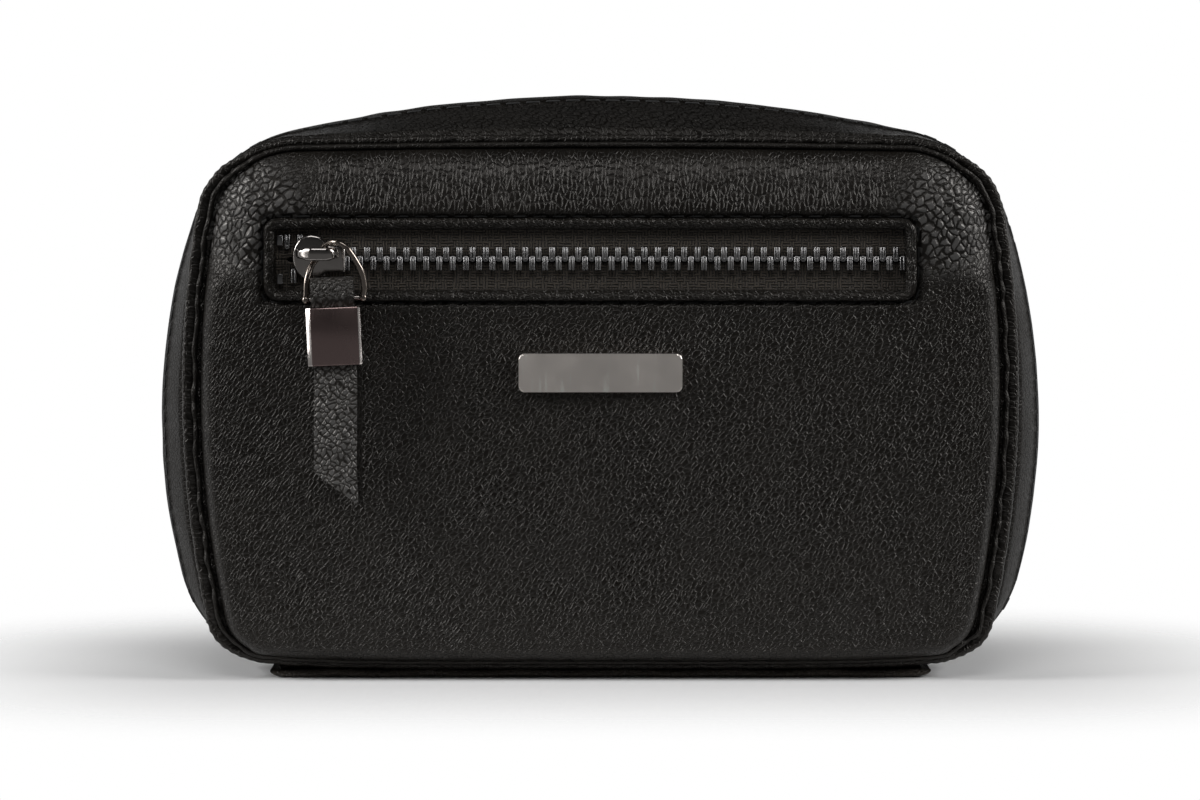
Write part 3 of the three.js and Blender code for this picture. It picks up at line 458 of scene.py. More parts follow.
def seam_points(seam, steps, inset=0.0):
    """Places and outward normals on a seam. Steps count its arcs, from the spine's right end to its left."""
    steps = np.asarray(steps, float)
    left = steps > ARC_COUNT / 2
    right = np.where(left, ARC_COUNT - steps, steps)
    index = np.clip(np.floor(right).astype(int), 0, ARC_COUNT // 2 - 1)
    share = right - index
    x, z, radius, start, stop = np.array(arcs(seam, inset))[index].T
    turn = start + (stop - start) * share
    way = np.where(left, -1.0, 1.0)
    places = np.stack([way * (x + radius * np.cos(turn)), z + radius * np.sin(turn)], -1)
    return places, np.stack([way * np.cos(turn), np.sin(turn)], -1)


ARC_LENGTHS = [radius * (stop - start) for _, _, radius, start, stop in arcs(PIPING)]
SEAM_MARKS = np.concatenate([[0.0], np.cumsum(ARC_LENGTHS + ARC_LENGTHS[::-1])])
SEAM_LENGTH = SEAM_MARKS[-1]


def steps_at(along):
    return np.interp(along, SEAM_MARKS, np.arange(ARC_COUNT + 1))


def even_steps(count):
    along = np.linspace(0, SEAM_LENGTH, count)
    return steps_at(along), along


def panel_ring(spacing):
    """The closed seam of a panel: places, outward normals and the length along it"""
    steps, _ = even_steps(int(SEAM_LENGTH / spacing))
    places, normals = seam_points(PIPING, steps)
    end_x, end_z = places[0]
    foot_x = np.linspace(-end_x, end_x, int(2 * end_x / spacing))[1:-1]
    share = np.abs(foot_x / end_x)
    foot_z = end_z - FOOT_BOW * (1 - share**6)
    slope = FOOT_BOW * 6 * share**5 / end_x * np.sign(foot_x)
    foot_normals = unit(np.stack([slope, -np.ones_like(slope)], -1))
    places = np.concatenate([places, np.stack([foot_x, foot_z], -1)])
    normals = np.concatenate([normals, foot_normals])
    for _ in range(6):
        normals = unit(normals + 0.5 * (np.roll(normals, 1, 0) + np.roll(normals, -1, 0)))
    return places, normals, run_along(places)


def seam_sides(normals):
    """How far each place of a panel's seam lies at the foot, the top and the sides, from 0 to 1"""
    at_foot = smooth_step(0.75, 0.98, -normals[:, 1])
    at_top = smooth_step(0.6, 0.98, normals[:, 1])
    at_side = smooth_step(0.6, 0.95, np.abs(normals[:, 0]))
    return at_foot, at_top, at_side


def rim_distance(spots, ring, normals):
    """Distance of each place inside the panel's seam, and the number of the nearest place on it"""
    nearest = np.empty(len(spots), int)
    for start in range(0, len(spots), 2000):
        part = slice(start, start + 2000)
        nearest[part] = ((spots[part, None, :] - ring[None, :, :]) ** 2).sum(-1).argmin(1)
    return -((spots - ring[nearest]) * normals[nearest]).sum(1), nearest


def wall_points(steps, depth, inset=0.0):
    """Places and outward normals on the gusset's wall at one depth"""
    narrow, narrow_normals = seam_points(PIPING, steps, inset)
    wide, wide_normals = seam_points(CREST, steps, inset)
    run = np.clip((GUSSET_START - depth) / (GUSSET_START - CREST_Y), 0, 1)
    share = 1 - (1 - run) ** 2
    return narrow + (wide - narrow) * share, unit(narrow_normals + (wide_normals - narrow_normals) * share)


def wall_line(steps, side, depth, inset=0.0, lift=0.0):
    """Points along one gusset's wall at one depth, lifted off it"""
    places, normals = wall_points(steps, depth, inset)
    return at_depth(places + normals * np.reshape(lift, (-1, 1)), side * depth)


def along_seam(normals):
    """Directions along a seam, from its outward normals"""
    return at_depth(normals[:, ::-1] * (-1, 1), 0.0)


# Material nodes

def new_material(name):
    made = bpy.data.materials.new(name)
    made.use_nodes = True
    return made, made.node_tree, made.node_tree.nodes["Principled BSDF"]


def node(tree, kind, values=None, **settings):
    made = tree.nodes.new(kind)
    for key, value in settings.items():
        setattr(made, key, value)
    for key, value in (values or {}).items():
        if isinstance(value, bpy.types.NodeSocket):
            tree.links.new(value, made.inputs[key])
        else:
            made.inputs[key].default_value = value
    return made


def calc(tree, kind, first, second):
    return node(tree, "ShaderNodeMath", {0: first, 1: second}, operation=kind).outputs[0]


def vector_calc(tree, kind, values, output=0):
    return node(tree, "ShaderNodeVectorMath", values, operation=kind).outputs[output]


def between(tree, value, from_low, from_high, to_low, to_high, smooth=False):
    values = {"Value": value, "From Min": from_low, "From Max": from_high}
    values |= {"To Min": to_low, "To Max": to_high}
    kind = "SMOOTHSTEP" if smooth else "LINEAR"
    return node(tree, "ShaderNodeMapRange", values, interpolation_type=kind).outputs[0]


def blended(tree, share, first, second):
    return node(tree, "ShaderNodeMix", {0: share, 2: first, 3: second}, data_type="FLOAT").outputs[0]


def colour_mix(tree, share, first, second):
    return node(tree, "ShaderNodeMix", {0: share, 6: first, 7: second}, data_type="RGBA").outputs[2]


def attribute(tree, name, output="Fac"):
    return node(tree, "ShaderNodeAttribute", attribute_name=name).outputs[output]


def noise(tree, place, scale, detail, dimensions="3D"):
    values = {"Vector": place, "Scale": scale, "Detail": detail}
    return node(tree, "ShaderNodeTexNoise", values, noise_dimensions=dimensions)


def mapped(tree, place, **values):
    return node(tree, "ShaderNodeMapping", {"Vector": place, **values}).outputs[0]


def jittered(tree, place, wander, reach):
    """A place moved about by the colours of a noise"""
    shift = vector_calc(tree, "SUBTRACT", {0: wander.outputs["Color"], 1: (0.5, 0.5, 0.5)})
    bent = vector_calc(tree, "SCALE", {0: shift, 3: reach})
    return vector_calc(tree, "ADD", {0: place, 1: bent})


def grey(value, warm=0.0):
    """A grey, or a brownish one"""
    return (value * (1 + warm), value, value * (1 - warm), 1.0)


def surface(tree, shader, colour, roughness, height, depth, strength=1.0):
    """Gives a shader its colour, its roughness and its relief"""
    bump = node(tree, "ShaderNodeBump", {"Height": height, "Strength": strength, "Distance": depth * MM})
    for name, socket in (("Base Color", colour), ("Roughness", roughness), ("Normal", bump.outputs[0])):
        tree.links.new(socket, shader.inputs[name])


# Materials

def pebbles(tree, place, turn, stretch, cell, randomness, edge):
    """Height from 0 to 1 of leather pebbles: large domes, broken up by faint small ones"""
    turned = mapped(tree, place, Rotation=(0, 0, math.radians(turn)))
    spot = mapped(tree, turned, Scale=(*stretch, 1))
    moved = jittered(tree, spot, noise(tree, spot, 0.55 / cell, 1.0, "2D"), 1.1 * cell)
    distances = []
    for scale, own_randomness in ((1 / cell, randomness), (2.0 / cell, 0.95)):
        values = {"Vector": moved, "Scale": scale, "Randomness": own_randomness}
        net = node(tree, "ShaderNodeTexVoronoi", values, feature="DISTANCE_TO_EDGE", voronoi_dimensions="2D")
        distances.append(net.outputs["Distance"])
    large, small = distances
    high = between(tree, large, 0.0, edge, 0.0, 0.65, smooth=True)
    dome = between(tree, large, 0.0, 0.55, 0.0, 0.25)
    low = between(tree, small, 0.0, 0.3, 0.0, 0.1, smooth=True)
    return calc(tree, "ADD", calc(tree, "ADD", high, dome), low)


def leather_material(name, colour, pebble=0.95, depth=0.2, rough=(0.3, 0.46), specular=0.42, scale=0.1):
    """Pebbled leather, its grain slanted, upright in the stretched band and in scales at the corners. Its
    creases are painted darker as shade and its tops a little lighter as wear; where it is scaly, its pebble
    tops get a painted pale grey sheen, the grey given as scale
    """
    made, tree, shader = new_material(name)
    grain = attribute(tree, "grain", "Vector")
    scales_and_sheen = attribute(tree, "scales_and_sheen")
    slanted = pebbles(tree, grain, -46, (0.7, 1.2), pebble, 0.95, 0.2)
    standing = pebbles(tree, grain, 3, (1.1, 0.45), pebble, 0.95, 0.2)
    scales = pebbles(tree, grain, 45, (0.6, 0.5), pebble, 0.6, 0.3)
    height = blended(tree, attribute(tree, "upright"), slanted, standing)
    height = blended(tree, scales_and_sheen, height, scales)
    fine = noise(tree, grain, 3.0, 2.0, "2D").outputs[0]
    height = calc(tree, "ADD", height, calc(tree, "MULTIPLY", fine, 0.1))
    height = blended(tree, attribute(tree, "plain"), height, calc(tree, "MULTIPLY", height, 0.3))
    wide = noise(tree, grain, 0.07, 3.0, "2D").outputs[0]
    # Creases painted darker as shade, pebble tops a little lighter as wear; the creases are also rougher
    crease_shade_and_wear = between(tree, height, 0.1, 0.95, 0.0, 1.0)
    shade = colour_mix(tree, crease_shade_and_wear, grey(colour * 0.4, 0.24), grey(colour * 1.15, 0.2))
    patch = between(tree, wide, 0.35, 0.7, 0.0, 0.35, smooth=True)
    shade = colour_mix(tree, patch, shade, grey(colour * 1.7, 0.2))
    # Painted sheen: where the grain is scaly, the pebble tops are painted the pale grey scale, standing in
    # for the lamps' sheen
    pale = calc(tree, "MULTIPLY", scales_and_sheen, between(tree, height, 0.45, 0.8, 0.0, 1.0, smooth=True))
    shade = colour_mix(tree, pale, shade, grey(scale, 0.03))
    roughness = between(tree, crease_shade_and_wear, 0.0, 1.0, rough[1], rough[0])
    roughness = calc(tree, "ADD", roughness, between(tree, wide, 0.3, 0.7, -0.04, 0.05))
    roughness = calc(tree, "SUBTRACT", roughness, calc(tree, "MULTIPLY", scales_and_sheen, 0.08))
    surface(tree, shader, shade, roughness, height, depth)
    shader.inputs["Specular IOR Level"].default_value = specular
    shader.inputs["Specular Tint"].default_value = (1.0, 0.95, 0.9, 1.0)
    return made


def metal_material(name, colour, rough, brush=0.0):
    """Plated metal with faint scratches and smudges"""
    made, tree, shader = new_material(name)
    scratch = 0.25
    spot = node(tree, "ShaderNodeTexCoord").outputs["Object"]
    smudge = noise(tree, spot, 180.0, 3.0).outputs[0]
    streak = noise(tree, mapped(tree, spot, Scale=(500.0, 500.0, 6000.0)), 1.0, 2.0).outputs[0]
    crossed = mapped(tree, spot, Scale=(900.0, 900.0, 90.0), Rotation=(0, 0.7, 0))
    rub = between(tree, noise(tree, crossed, 1.0, 4.0).outputs[0], 0.56, 0.72, 0.0, 1.0, smooth=True)
    soft = between(tree, smudge, 0.3, 0.7, -0.025, 0.03)
    roughness = calc(tree, "ADD", calc(tree, "ADD", soft, rough), calc(tree, "MULTIPLY", rub, scratch * 0.3))
    pale = [part * 1.12 for part in colour]
    shade = colour_mix(tree, calc(tree, "MULTIPLY", rub, 0.5), (*colour, 1.0), (*pale, 1.0))
    brushed = calc(tree, "MULTIPLY", streak, brush)
    height = calc(tree, "ADD", brushed, calc(tree, "MULTIPLY", rub, -scratch))
    surface(tree, shader, shade, roughness, height, 0.01, strength=0.35)
    shader.inputs["Metallic"].default_value = 1.0
    return made


def weave_material(name, colour, pitch, depth):
    """Woven cloth of crossing threads, slightly uneven, with the hollows between the threads painted dark as
    shade
    """
    made, tree, shader = new_material(name)
    spot = attribute(tree, "grain", "Vector")
    wander = noise(tree, spot, 0.6 / pitch, 2.0)
    moved = jittered(tree, spot, wander, 0.5 * pitch)
    parts = node(tree, "ShaderNodeSeparateXYZ", {0: moved})
    threads = []
    for part in ("X", "Y"):
        run = calc(tree, "MULTIPLY", parts.outputs[part], 2 / pitch)
        threads.append(calc(tree, "PINGPONG", run, 0.5))
    cells = node(tree, "ShaderNodeTexChecker", {"Vector": moved, "Scale": 1 / pitch}).outputs["Fac"]
    height = between(tree, blended(tree, cells, *threads), 0.06, 0.4, 0.0, 1.0, smooth=True)
    share = calc(tree, "MULTIPLY", height, between(tree, wander.outputs[0], 0.3, 0.7, 0.7, 1.0))
    # Painted shade: the hollows between threads are painted far darker than the threads' tops
    shade = colour_mix(tree, share, grey(colour * 0.15, 0.2), grey(colour * 1.3, 0.22))
    surface(tree, shader, shade, between(tree, wander.outputs[0], 0.3, 0.7, 0.72, 0.88), height, depth)
    shader.inputs["Sheen Weight"].default_value = 0.15
    shader.inputs["Sheen Roughness"].default_value = 0.5
    return made


def speckled_material(name, low, high, rough, scale, depth):
    """Foam, fibreboard, thread and nylon: a fine speckle by place"""
    made, tree, shader = new_material(name)
    spot = node(tree, "ShaderNodeTexCoord").outputs["Object"]
    speckle = noise(tree, spot, scale, 4.0).outputs[0]
    shade = colour_mix(tree, between(tree, speckle, 0.35, 0.65, 0.0, 1.0), low, high)
    roughness = between(tree, speckle, 0.3, 0.7, rough - 0.06, rough + 0.06)
    surface(tree, shader, shade, roughness, speckle, depth, strength=0.6)
    return made


WORN_ROUGH = (0.34, 0.46)
LEATHER_SKIN = leather_material("leather", 0.006)
WALL_SKIN = leather_material("wall_leather", 0.006, depth=0.22, rough=WORN_ROUGH, specular=0.2)
# A darker, hardly glossy copy of the leather for the gusset's hem band: painted shade
HEM_SHADED_SKIN = leather_material("hem_shaded_leather", 0.005, rough=(0.4, 0.5), specular=0.06)
# The strap's leather has a lighter base colour, partly standing in for its broad sheen, and a paler grey on
# its pebble tops (scale 0.13): painted sheen
STRAP_SHEEN_PAINTED_SKIN = leather_material("strap_leather", 0.01, 0.62, 0.26, (0.32, 0.5), specular=0.55, scale=0.13)
# A darker, less glossy copy of the leather for the gusset's upward faces: painted shade
UPWARD_SHADED_SKIN = leather_material("upward_shaded_leather", 0.004, depth=0.3, rough=WORN_ROUGH, specular=0.12)
# The spine strip's leather is painted five times lighter than the panels', as painted light where it lies in
# the case's shadow
SPINE_LIGHTENED_SKIN = leather_material("spine_leather", 0.03)
TAPE_CLOTH = weave_material("zip_tape", 0.07, 1.2, 0.2)
LINING_CLOTH = weave_material("lining", 0.07, 0.7, 0.1)
ELASTIC_CLOTH = weave_material("elastic", 0.025, 0.8, 0.16)
GUNMETAL = metal_material("gunmetal", (0.42, 0.39, 0.37), 0.17)
SATIN_GUNMETAL = metal_material("satin_gunmetal", (0.34, 0.25, 0.24), 0.26)
TOOTH_METAL = metal_material("tooth_metal", (0.25, 0.245, 0.245), 0.27)
WIRE_METAL = metal_material("wire_metal", (0.28, 0.24, 0.21), 0.2)
# A pale copy of the clamp's metal for its front bevels: a painted glint
GLINT_PAINTED_METAL = metal_material("glint_painted_metal", (0.95, 0.88, 0.84), 0.2)
NICKEL = metal_material("nickel", (1.0, 0.93, 0.87), 0.44, brush=0.3)
THREAD = speckled_material("thread", grey(0.006), grey(0.014), 0.7, 3000, 0.05)
HEM_THREAD = speckled_material("hem_thread", grey(0.016), grey(0.04), 0.6, 3000, 0.05)
INNER_THREAD = speckled_material("inner_thread", grey(0.1), grey(0.18), 0.6, 3000, 0.05)
NYLON = speckled_material("nylon", grey(0.012), grey(0.02), 0.42, 2000, 0.03)
FOAM = speckled_material("foam", grey(0.24), grey(0.34), 0.9, 2500, 0.2)
PLAIN_LINING = speckled_material("plain_lining", grey(0.012, 0.1), grey(0.022, 0.1), 0.8, 2500, 0.06)
BOARD = speckled_material("board", (0.16, 0.125, 0.09, 1), (0.24, 0.19, 0.14, 1), 0.85, 1200, 0.1)


# Padded panels

RIM_INSETS = (
    0.2, 0.7, 1.1, 1.35, 1.6, 1.85, 2.1, 2.3, 2.6, 3.0, 3.5,
    4.1, 4.8, 5.6, 6.5, 7.5, 8.7, 10.0, 11.4, 12.9, 14.4,
)
POCKET_RINGS = (2.25, 2.45, 2.65, 2.8, 2.95, 3.15, 3.45, 3.9, 4.5, 5.3)
EDGE_WAVE = ripple(5, 7.5, 11)
EDGE_FINE = ripple(4, 3.4, 12)
SOFT_SWELL = swell(9, 34.0, 13)
FINE_SWELL = swell(11, 13.0, 14)
CREASE_WAVE = ripple(4, 9.0, 15)
CORNER_SCALES = (71, 95)  # middle of the scaly grain, whose pebble tops get a painted sheen, in each upper corner


def pocket_distance(x, z):
    """Distance outside the pocket's opening"""
    dx = np.abs(x - POCKET_X) - POCKET_HALF_X
    dz = np.abs(z - POCKET_Z) - POCKET_HALF_Z
    outside = (np.maximum(dx, 0) ** SQUARE + np.maximum(dz, 0) ** SQUARE) ** (1 / SQUARE)
    return outside + np.minimum(np.maximum(dx, dz), 0) - POCKET_CORNER


def pocket_ring(distance, spacing):
    """Places and outward normals round the pocket at a distance from its opening, and the length along it"""
    radius = POCKET_CORNER + distance
    counts = [max(2, int(2 * half / spacing)) for half in (POCKET_HALF_Z, POCKET_HALF_X)]
    bend = max(3, int(radius * math.pi / 2 / spacing))
    signs = np.array(((1, -1), (1, 1), (-1, 1), (-1, -1)))
    corners = (POCKET_X, POCKET_Z) + signs * (POCKET_HALF_X, POCKET_HALF_Z)
    places = []
    normals = []
    for k, corner in enumerate(corners):
        stop = 90 * k
        for angle in np.radians(np.linspace(stop - 90, stop, bend, endpoint=False)):
            way = np.array((math.cos(angle), math.sin(angle)))
            reach = radius / (np.abs(way) ** SQUARE).sum() ** (1 / SQUARE)
            normals.append(way)
            places.append(corner + reach * way)
        way = np.array((math.cos(math.radians(stop)), math.sin(math.radians(stop))))
        for share in np.linspace(0, 1, counts[k % 2], endpoint=False):
            normals.append(way)
            places.append(corner + radius * way + (corners[(k + 1) % 4] - corner) * share)
    return np.array(places), np.array(normals), run_along(places)


def panel_plan(with_pocket, spacing):
    """Places over a panel, finer at its rim and round the pocket, and the triangles between them"""
    ring, normals, _ = panel_ring(spacing)
    rim = np.concatenate([ring - normals * inset for inset in RIM_INSETS])
    up = np.arange(4, 112, 1.2 * spacing)
    field_x, field_z = np.meshgrid(np.arange(-80, 80, 1.4 * spacing), up)
    field_x = field_x + (np.arange(len(up)) % 2)[:, None] * 0.7 * spacing
    field = np.stack([field_x.ravel(), field_z.ravel()], -1)
    field = field[rim_distance(field, ring, normals)[0] > RIM_INSETS[-1] + 0.7 * spacing]
    if with_pocket:
        edge = POCKET_RINGS[-1] + 0.55 * spacing
        field = field[pocket_distance(*field.T) > edge]
        kept = pocket_distance(*rim.T) > edge
        kept[:len(ring)] = True
        rim = rim[kept]
        field = np.concatenate([field, *(pocket_ring(distance, 0.65)[0] for distance in POCKET_RINGS)])
    spots, faces = triangles(np.concatenate([rim, field]))
    middle = spots[faces].mean(1)
    inside = rim_distance(middle, ring, normals)[0] > RIM_INSETS[0] - 0.02
    if with_pocket:
        inside &= pocket_distance(*middle.T) > POCKET_RINGS[0] - 0.02
    return spots, faces[inside]


def pocket_relief(spots, height):
    """A panel's height with the pocket's stitched crease and the hollow under the nameplate"""
    x, z = spots.T
    away = pocket_distance(x, z)
    around = np.where(np.abs(z - POCKET_Z) * 8 > np.abs(x - POCKET_X), x, z)
    pulled = np.cos(2 * math.pi * around / STITCH_PITCH)
    close = 1 - smooth_step(2.6, 9.0, away)
    height = height * (1 - close) + close * (CROWN + 0.12)
    height -= (0.62 + 0.14 * pulled) * bell(away, CREASE - 0.1, 0.52)
    height -= 0.5 * (1 - smooth_step(2.2, 2.75, away))
    height += bell(away, 4.6, 1.7) * (0.16 + 0.1 * CREASE_WAVE(around))
    plate = np.maximum(np.abs(x) - PLATE_WIDTH / 2 + 1.15, np.abs(z - PLATE_Z) - PLATE_HEIGHT / 2 + 1.0)
    return height - 0.16 * (1 - smooth_step(0.0, 2.6, plate))


def panel_height(spots, with_pocket):
    """Height of a panel above the seam's plane, the inset of each place and the seam's nearest normal"""
    ring, normals, along = panel_ring(0.6)
    inset, nearest = rim_distance(spots, ring, normals)
    normals = normals[nearest]
    length = along[nearest]
    low = 1 - smooth_step(80, 88, ring[nearest, 1])
    at_foot, _, at_side = seam_sides(normals)
    outward = np.maximum(at_foot, 0.6 * np.maximum(at_side, low))
    run = np.clip((inset - CROWN_START + outward) / (CROWN_WIDTH - 10.0 * low), 0, 1)
    height = (CROWN + CROWN_SINK) * np.sqrt(1 - (1 - run) ** 2.1) - CROWN_SINK
    at_rim = np.exp(-np.maximum(inset - 2.4, 0) / 3.2) * smooth_step(2.0, 4.0, inset)
    height += at_rim * (0.13 * EDGE_WAVE(length) + 0.06 * EDGE_FINE(length))
    swells = 0.16 * SOFT_SWELL(*spots.T) + 0.07 * FINE_SWELL(*spots.T) - 0.22
    height += smooth_step(4.0, 16.0, inset) * swells
    if with_pocket:
        height = pocket_relief(spots, height)
    return height, inset, normals


def add_panel(name, side, with_pocket, spacing):
    spots, faces = panel_plan(with_pocket, spacing)
    height, inset, normals = panel_height(spots, with_pocket)
    points = at_depth(spots, side * (PIPING_Y + height))
    panel = mesh_object(f"{name}_panel_leather", (points, faces), LEATHER_SKIN)
    over_crown = 3.2 * np.clip((CROWN_WIDTH + 1.5 - inset) / CROWN_WIDTH, 0, 1) ** 3
    x, z = spots.T
    upright = smooth_step(93.5, 97.5, z) * (1 - smooth_step(54, 66, np.abs(x)))
    # Scaly grain in the upper corners, with a painted sheen on its pebble tops
    scales_and_sheen = 1 - smooth_step(8, 15, np.hypot(np.abs(x) - CORNER_SCALES[0], z - CORNER_SCALES[1]))
    leather_marks(panel, spots + normals * over_crown[:, None], upright, scales_and_sheen, plain=0.3 * upright)
    face_along_y(panel, side)
    thicken(panel, LEATHER)
    settle(panel, f"{name}_half", f"{name}_panel", slot="leather")


# Rolls in the seam round a panel: a puckered one outside and a smooth thin one inside

ROLL_SIDES = 10
BEADS = ripple(3, 1.5, 21)
BEAD_SWELL = ripple(3, 7.7, 22)
RIDGE_WAVE = ripple(4, 9.5, 23)
RIDGE_FINE = ripple(3, 4.0, 24)


def ring_tube(ring, normals, inset, level, radius, side, flange=0.0):
    """A roll along the seam, with its own inset, depth and radius at each place, and a flange sewn in"""
    cos = np.cos(circle(ROLL_SIDES))
    sewn = (cos < -0.7) & np.any(flange)
    out = -inset[:, None] + radius[:, None] * cos - np.reshape(flange, (-1, 1)) * sewn
    deep = level[:, None] + radius[:, None] * np.sin(circle(ROLL_SIDES)) * (1 - 0.5 * sewn)
    places = ring[:, None, :] + normals[:, None, :] * out[..., None]
    return hoop(np.stack([places[..., 0], side * deep, places[..., 1]], -1))


def add_rolls(name, side):
    ring, normals, along = panel_ring(0.33)
    at_foot, at_top, at_side = seam_sides(normals)
    grain = spread(along, np.arange(ROLL_SIDES) * 0.49)
    wave = BEAD_SWELL(along)
    inset = -0.5 + 0.08 * wave + 0.55 * at_foot + 0.8 * at_top - 1.1 * at_side
    level = PIPING_Y - 0.75 + 0.06 * wave - 0.4 * at_foot
    radius = 0.82 + 0.04 * BEADS(along) * (1 - 0.5 * at_top) + 0.04 * wave
    shape = ring_tube(ring, normals, inset, level, radius, side, flange=0.4 + 1.1 * at_side)
    roll = piece(f"{name}_seam_roll", shape, LEATHER_SKIN, f"{name}_half", f"{name}_piping", slot="leather")
    leather_marks(roll, grain, plain=0.5)
    calm = 1 - 0.75 * np.maximum(at_top, at_foot)
    fine = RIDGE_FINE(along) * calm
    inset = 1.1 + 0.45 * at_top - 0.2 * at_foot - 0.85 * at_side + 0.12 * RIDGE_WAVE(along) * calm
    radius = 0.56 + 0.06 * at_top + 0.05 * fine
    shape = ring_tube(ring, normals, inset, PIPING_Y + 0.3 + 0.1 * fine, radius, side)
    ridge = piece(f"{name}_seam_ridge", shape, LEATHER_SKIN, f"{name}_half", slot="leather")
    leather_marks(ridge, grain, plain=0.85)


# Gussets

HEM_STITCH = 12.0  # depth of the topstitching
HEM_FOLD = 0.85  # radius of the hem's outer edge
OUTER_DEPTHS = (
    GUSSET_START - 0.02, 22.6, 22.2, 21.7, 21.1, 20.7, 20.5, 20.3, 20.1,
    19.9, 19.7, 19.5, 19.0, 18.4, 17.2, 16, 14.9, 14, 13.4, 13.0, 12.75, 12.5, 12.25,
    12.0, 11.75, 11.5, 11.1, 10.5, 9.7, 8.8, 7.9, 7.1, 6.5, 6.0, 5.6,
)
INNER_LINES = (
    (HEM_Y, 2.4), (HEM_Y + 0.1, GUSSET), (9, GUSSET), (13, GUSSET), (18, GUSSET), (GUSSET_START, GUSSET),
)
PUCKER = ripple(4, 1.45, 31)
PUCKER_SWELL = ripple(3, 7.7, 32)
WALL_SWELL = swell(8, 26.0, 33)
HEM_WAVE = ripple(4, 11.0, 34)


def gusset_lift(along, depth, sideways):
    """How far the gusset's leather stands out of its plain wall, with a groove at the case's sides"""
    from_seam = GUSSET_START - depth
    puckers = np.exp(-from_seam / 1.7) * (0.07 * PUCKER(along) + 0.08 * PUCKER_SWELL(along))
    hem = 0.34 * (1 - smooth_step(HEM_STITCH + 0.35, HEM_STITCH + 0.95, depth))
    sewn = -0.3 * bell(depth, HEM_STITCH, 0.5) * (0.75 + 0.25 * np.cos(2 * math.pi * along / STITCH_PITCH))
    soft = 0.06 * WALL_SWELL(along, depth) * smooth_step(0.5, 4.0, from_seam)
    edge = 0.04 * HEM_WAVE(along) * (1 - smooth_step(5.5, 10.0, depth))
    bulge = smooth_step(0.0, 1.3, from_seam) * np.exp(-np.maximum(from_seam - 1.3, 0) / 3.5)
    groove = 2.5 * smooth_step(0.2, 1.3, from_seam) * (1 - smooth_step(2.5, 3.7, from_seam))
    return puckers + hem + sewn + soft + edge + bulge - groove * sideways - 0.32


def add_gusset(name, side):
    steps, along = even_steps(560)
    sideways = smooth_step(0.5, 0.95, np.abs(seam_points(PIPING, steps)[1][:, 0]))
    lines = []
    for depth in OUTER_DEPTHS:
        lines.append(wall_line(steps, side, depth, lift=gusset_lift(along, depth, sideways)))
    for angle in np.radians((30, 60, 90)):
        depth = HEM_Y + HEM_FOLD * (1 - math.sin(angle)) * 0.75
        lift = gusset_lift(along, depth, sideways) - HEM_FOLD * (1 - math.cos(angle))
        lines.append(wall_line(steps, side, depth, lift=lift))
    lines += [wall_line(steps, side, depth, inset) for depth, inset in INNER_LINES]
    points, faces = loft(np.stack(lines, 1))
    gusset = mesh_object(f"{name}_gusset_leather", (points, faces), WALL_SKIN, sharp=60)
    wide = np.repeat(sideways, len(lines))
    # Faint scaly grain with a painted sheen on its pebble tops, from the topstitching to the seam, less at
    # the case's sides
    scales_and_sheen = 0.15 * smooth_step(11, 13.5, np.abs(points[:, 1])) * (1 - wide)
    grain = spread(along, run_along(points[:len(lines)]))
    leather_marks(gusset, grain, scales_and_sheen=scales_and_sheen, plain=0.1 + 0.6 * wide)
    # The hem band's faces take the darker copy of the leather: painted shade
    gusset.data.materials.append(HEM_SHADED_SKIN)
    gusset.data.materials.append(UPWARD_SHADED_SKIN)
    for face in gusset.data.polygons:
        if abs(face.center.y) < (HEM_STITCH + 0.6) * MM:
            face.material_index = 1
        # Faces that look upward take the darker copy: painted shade on the gusset's top
        elif face.normal.z > 0.75:
            face.material_index = 2
    settle(gusset, f"{name}_half", f"{name}_gusset", slot="leather")
    marks = np.arange(3.0, SEAM_LENGTH - 3.0, STITCH_PITCH)
    spots = wall_line(steps_at(marks), side, HEM_STITCH, lift=gusset_lift(marks, HEM_STITCH, 0.0) + 0.12)
    _, normals = wall_points(steps_at(marks), HEM_STITCH)
    stitches = capsules(spots, along_seam(normals), at_depth(normals, 0.0), 2.9, 0.3)
    piece(f"{name}_hem_stitches", stitches, HEM_THREAD, f"{name}_half", slot="leather")


# Pocket

WELT_PROFILE = (
    (0.6, -1.3), (0.15, -1.2), (0.0, -0.8), (0.08, -0.4), (0.3, -0.02), (0.62, 0.32), (1.0, 0.62),
    (1.4, 0.82), (1.75, 0.82), (2.05, 0.6), (2.3, 0.2), (2.42, -0.35), (2.3, -0.75), (1.4, -0.95),
)
WELT_PUCKER = ripple(4, 2.7, 41)
WELT_WAVE = ripple(3, 8.5, 42)
TAPE_FACE = -28.9
TAPE_BACK = -28.42
TAPE_PROFILE = (  # distance from the chain's middle, and relief of the cord along the edge
    (0.6, 0.1), (0.72, 0.24), (1.1, 0.3), (1.55, 0.22), (1.75, 0.02), (3.2, 0), (5, 0), (7, 0), (9, 0),
)
CHAIN_Y = -29.58
CHAIN_LIFT = 0.2
CHAIN_LEAN = 0.12  # the chain faces slightly upward
SPREAD_RUN = 7.0
ROW_SPREAD = 2.6
ROW_FROM = -64.2
ROW_TO = 62.2


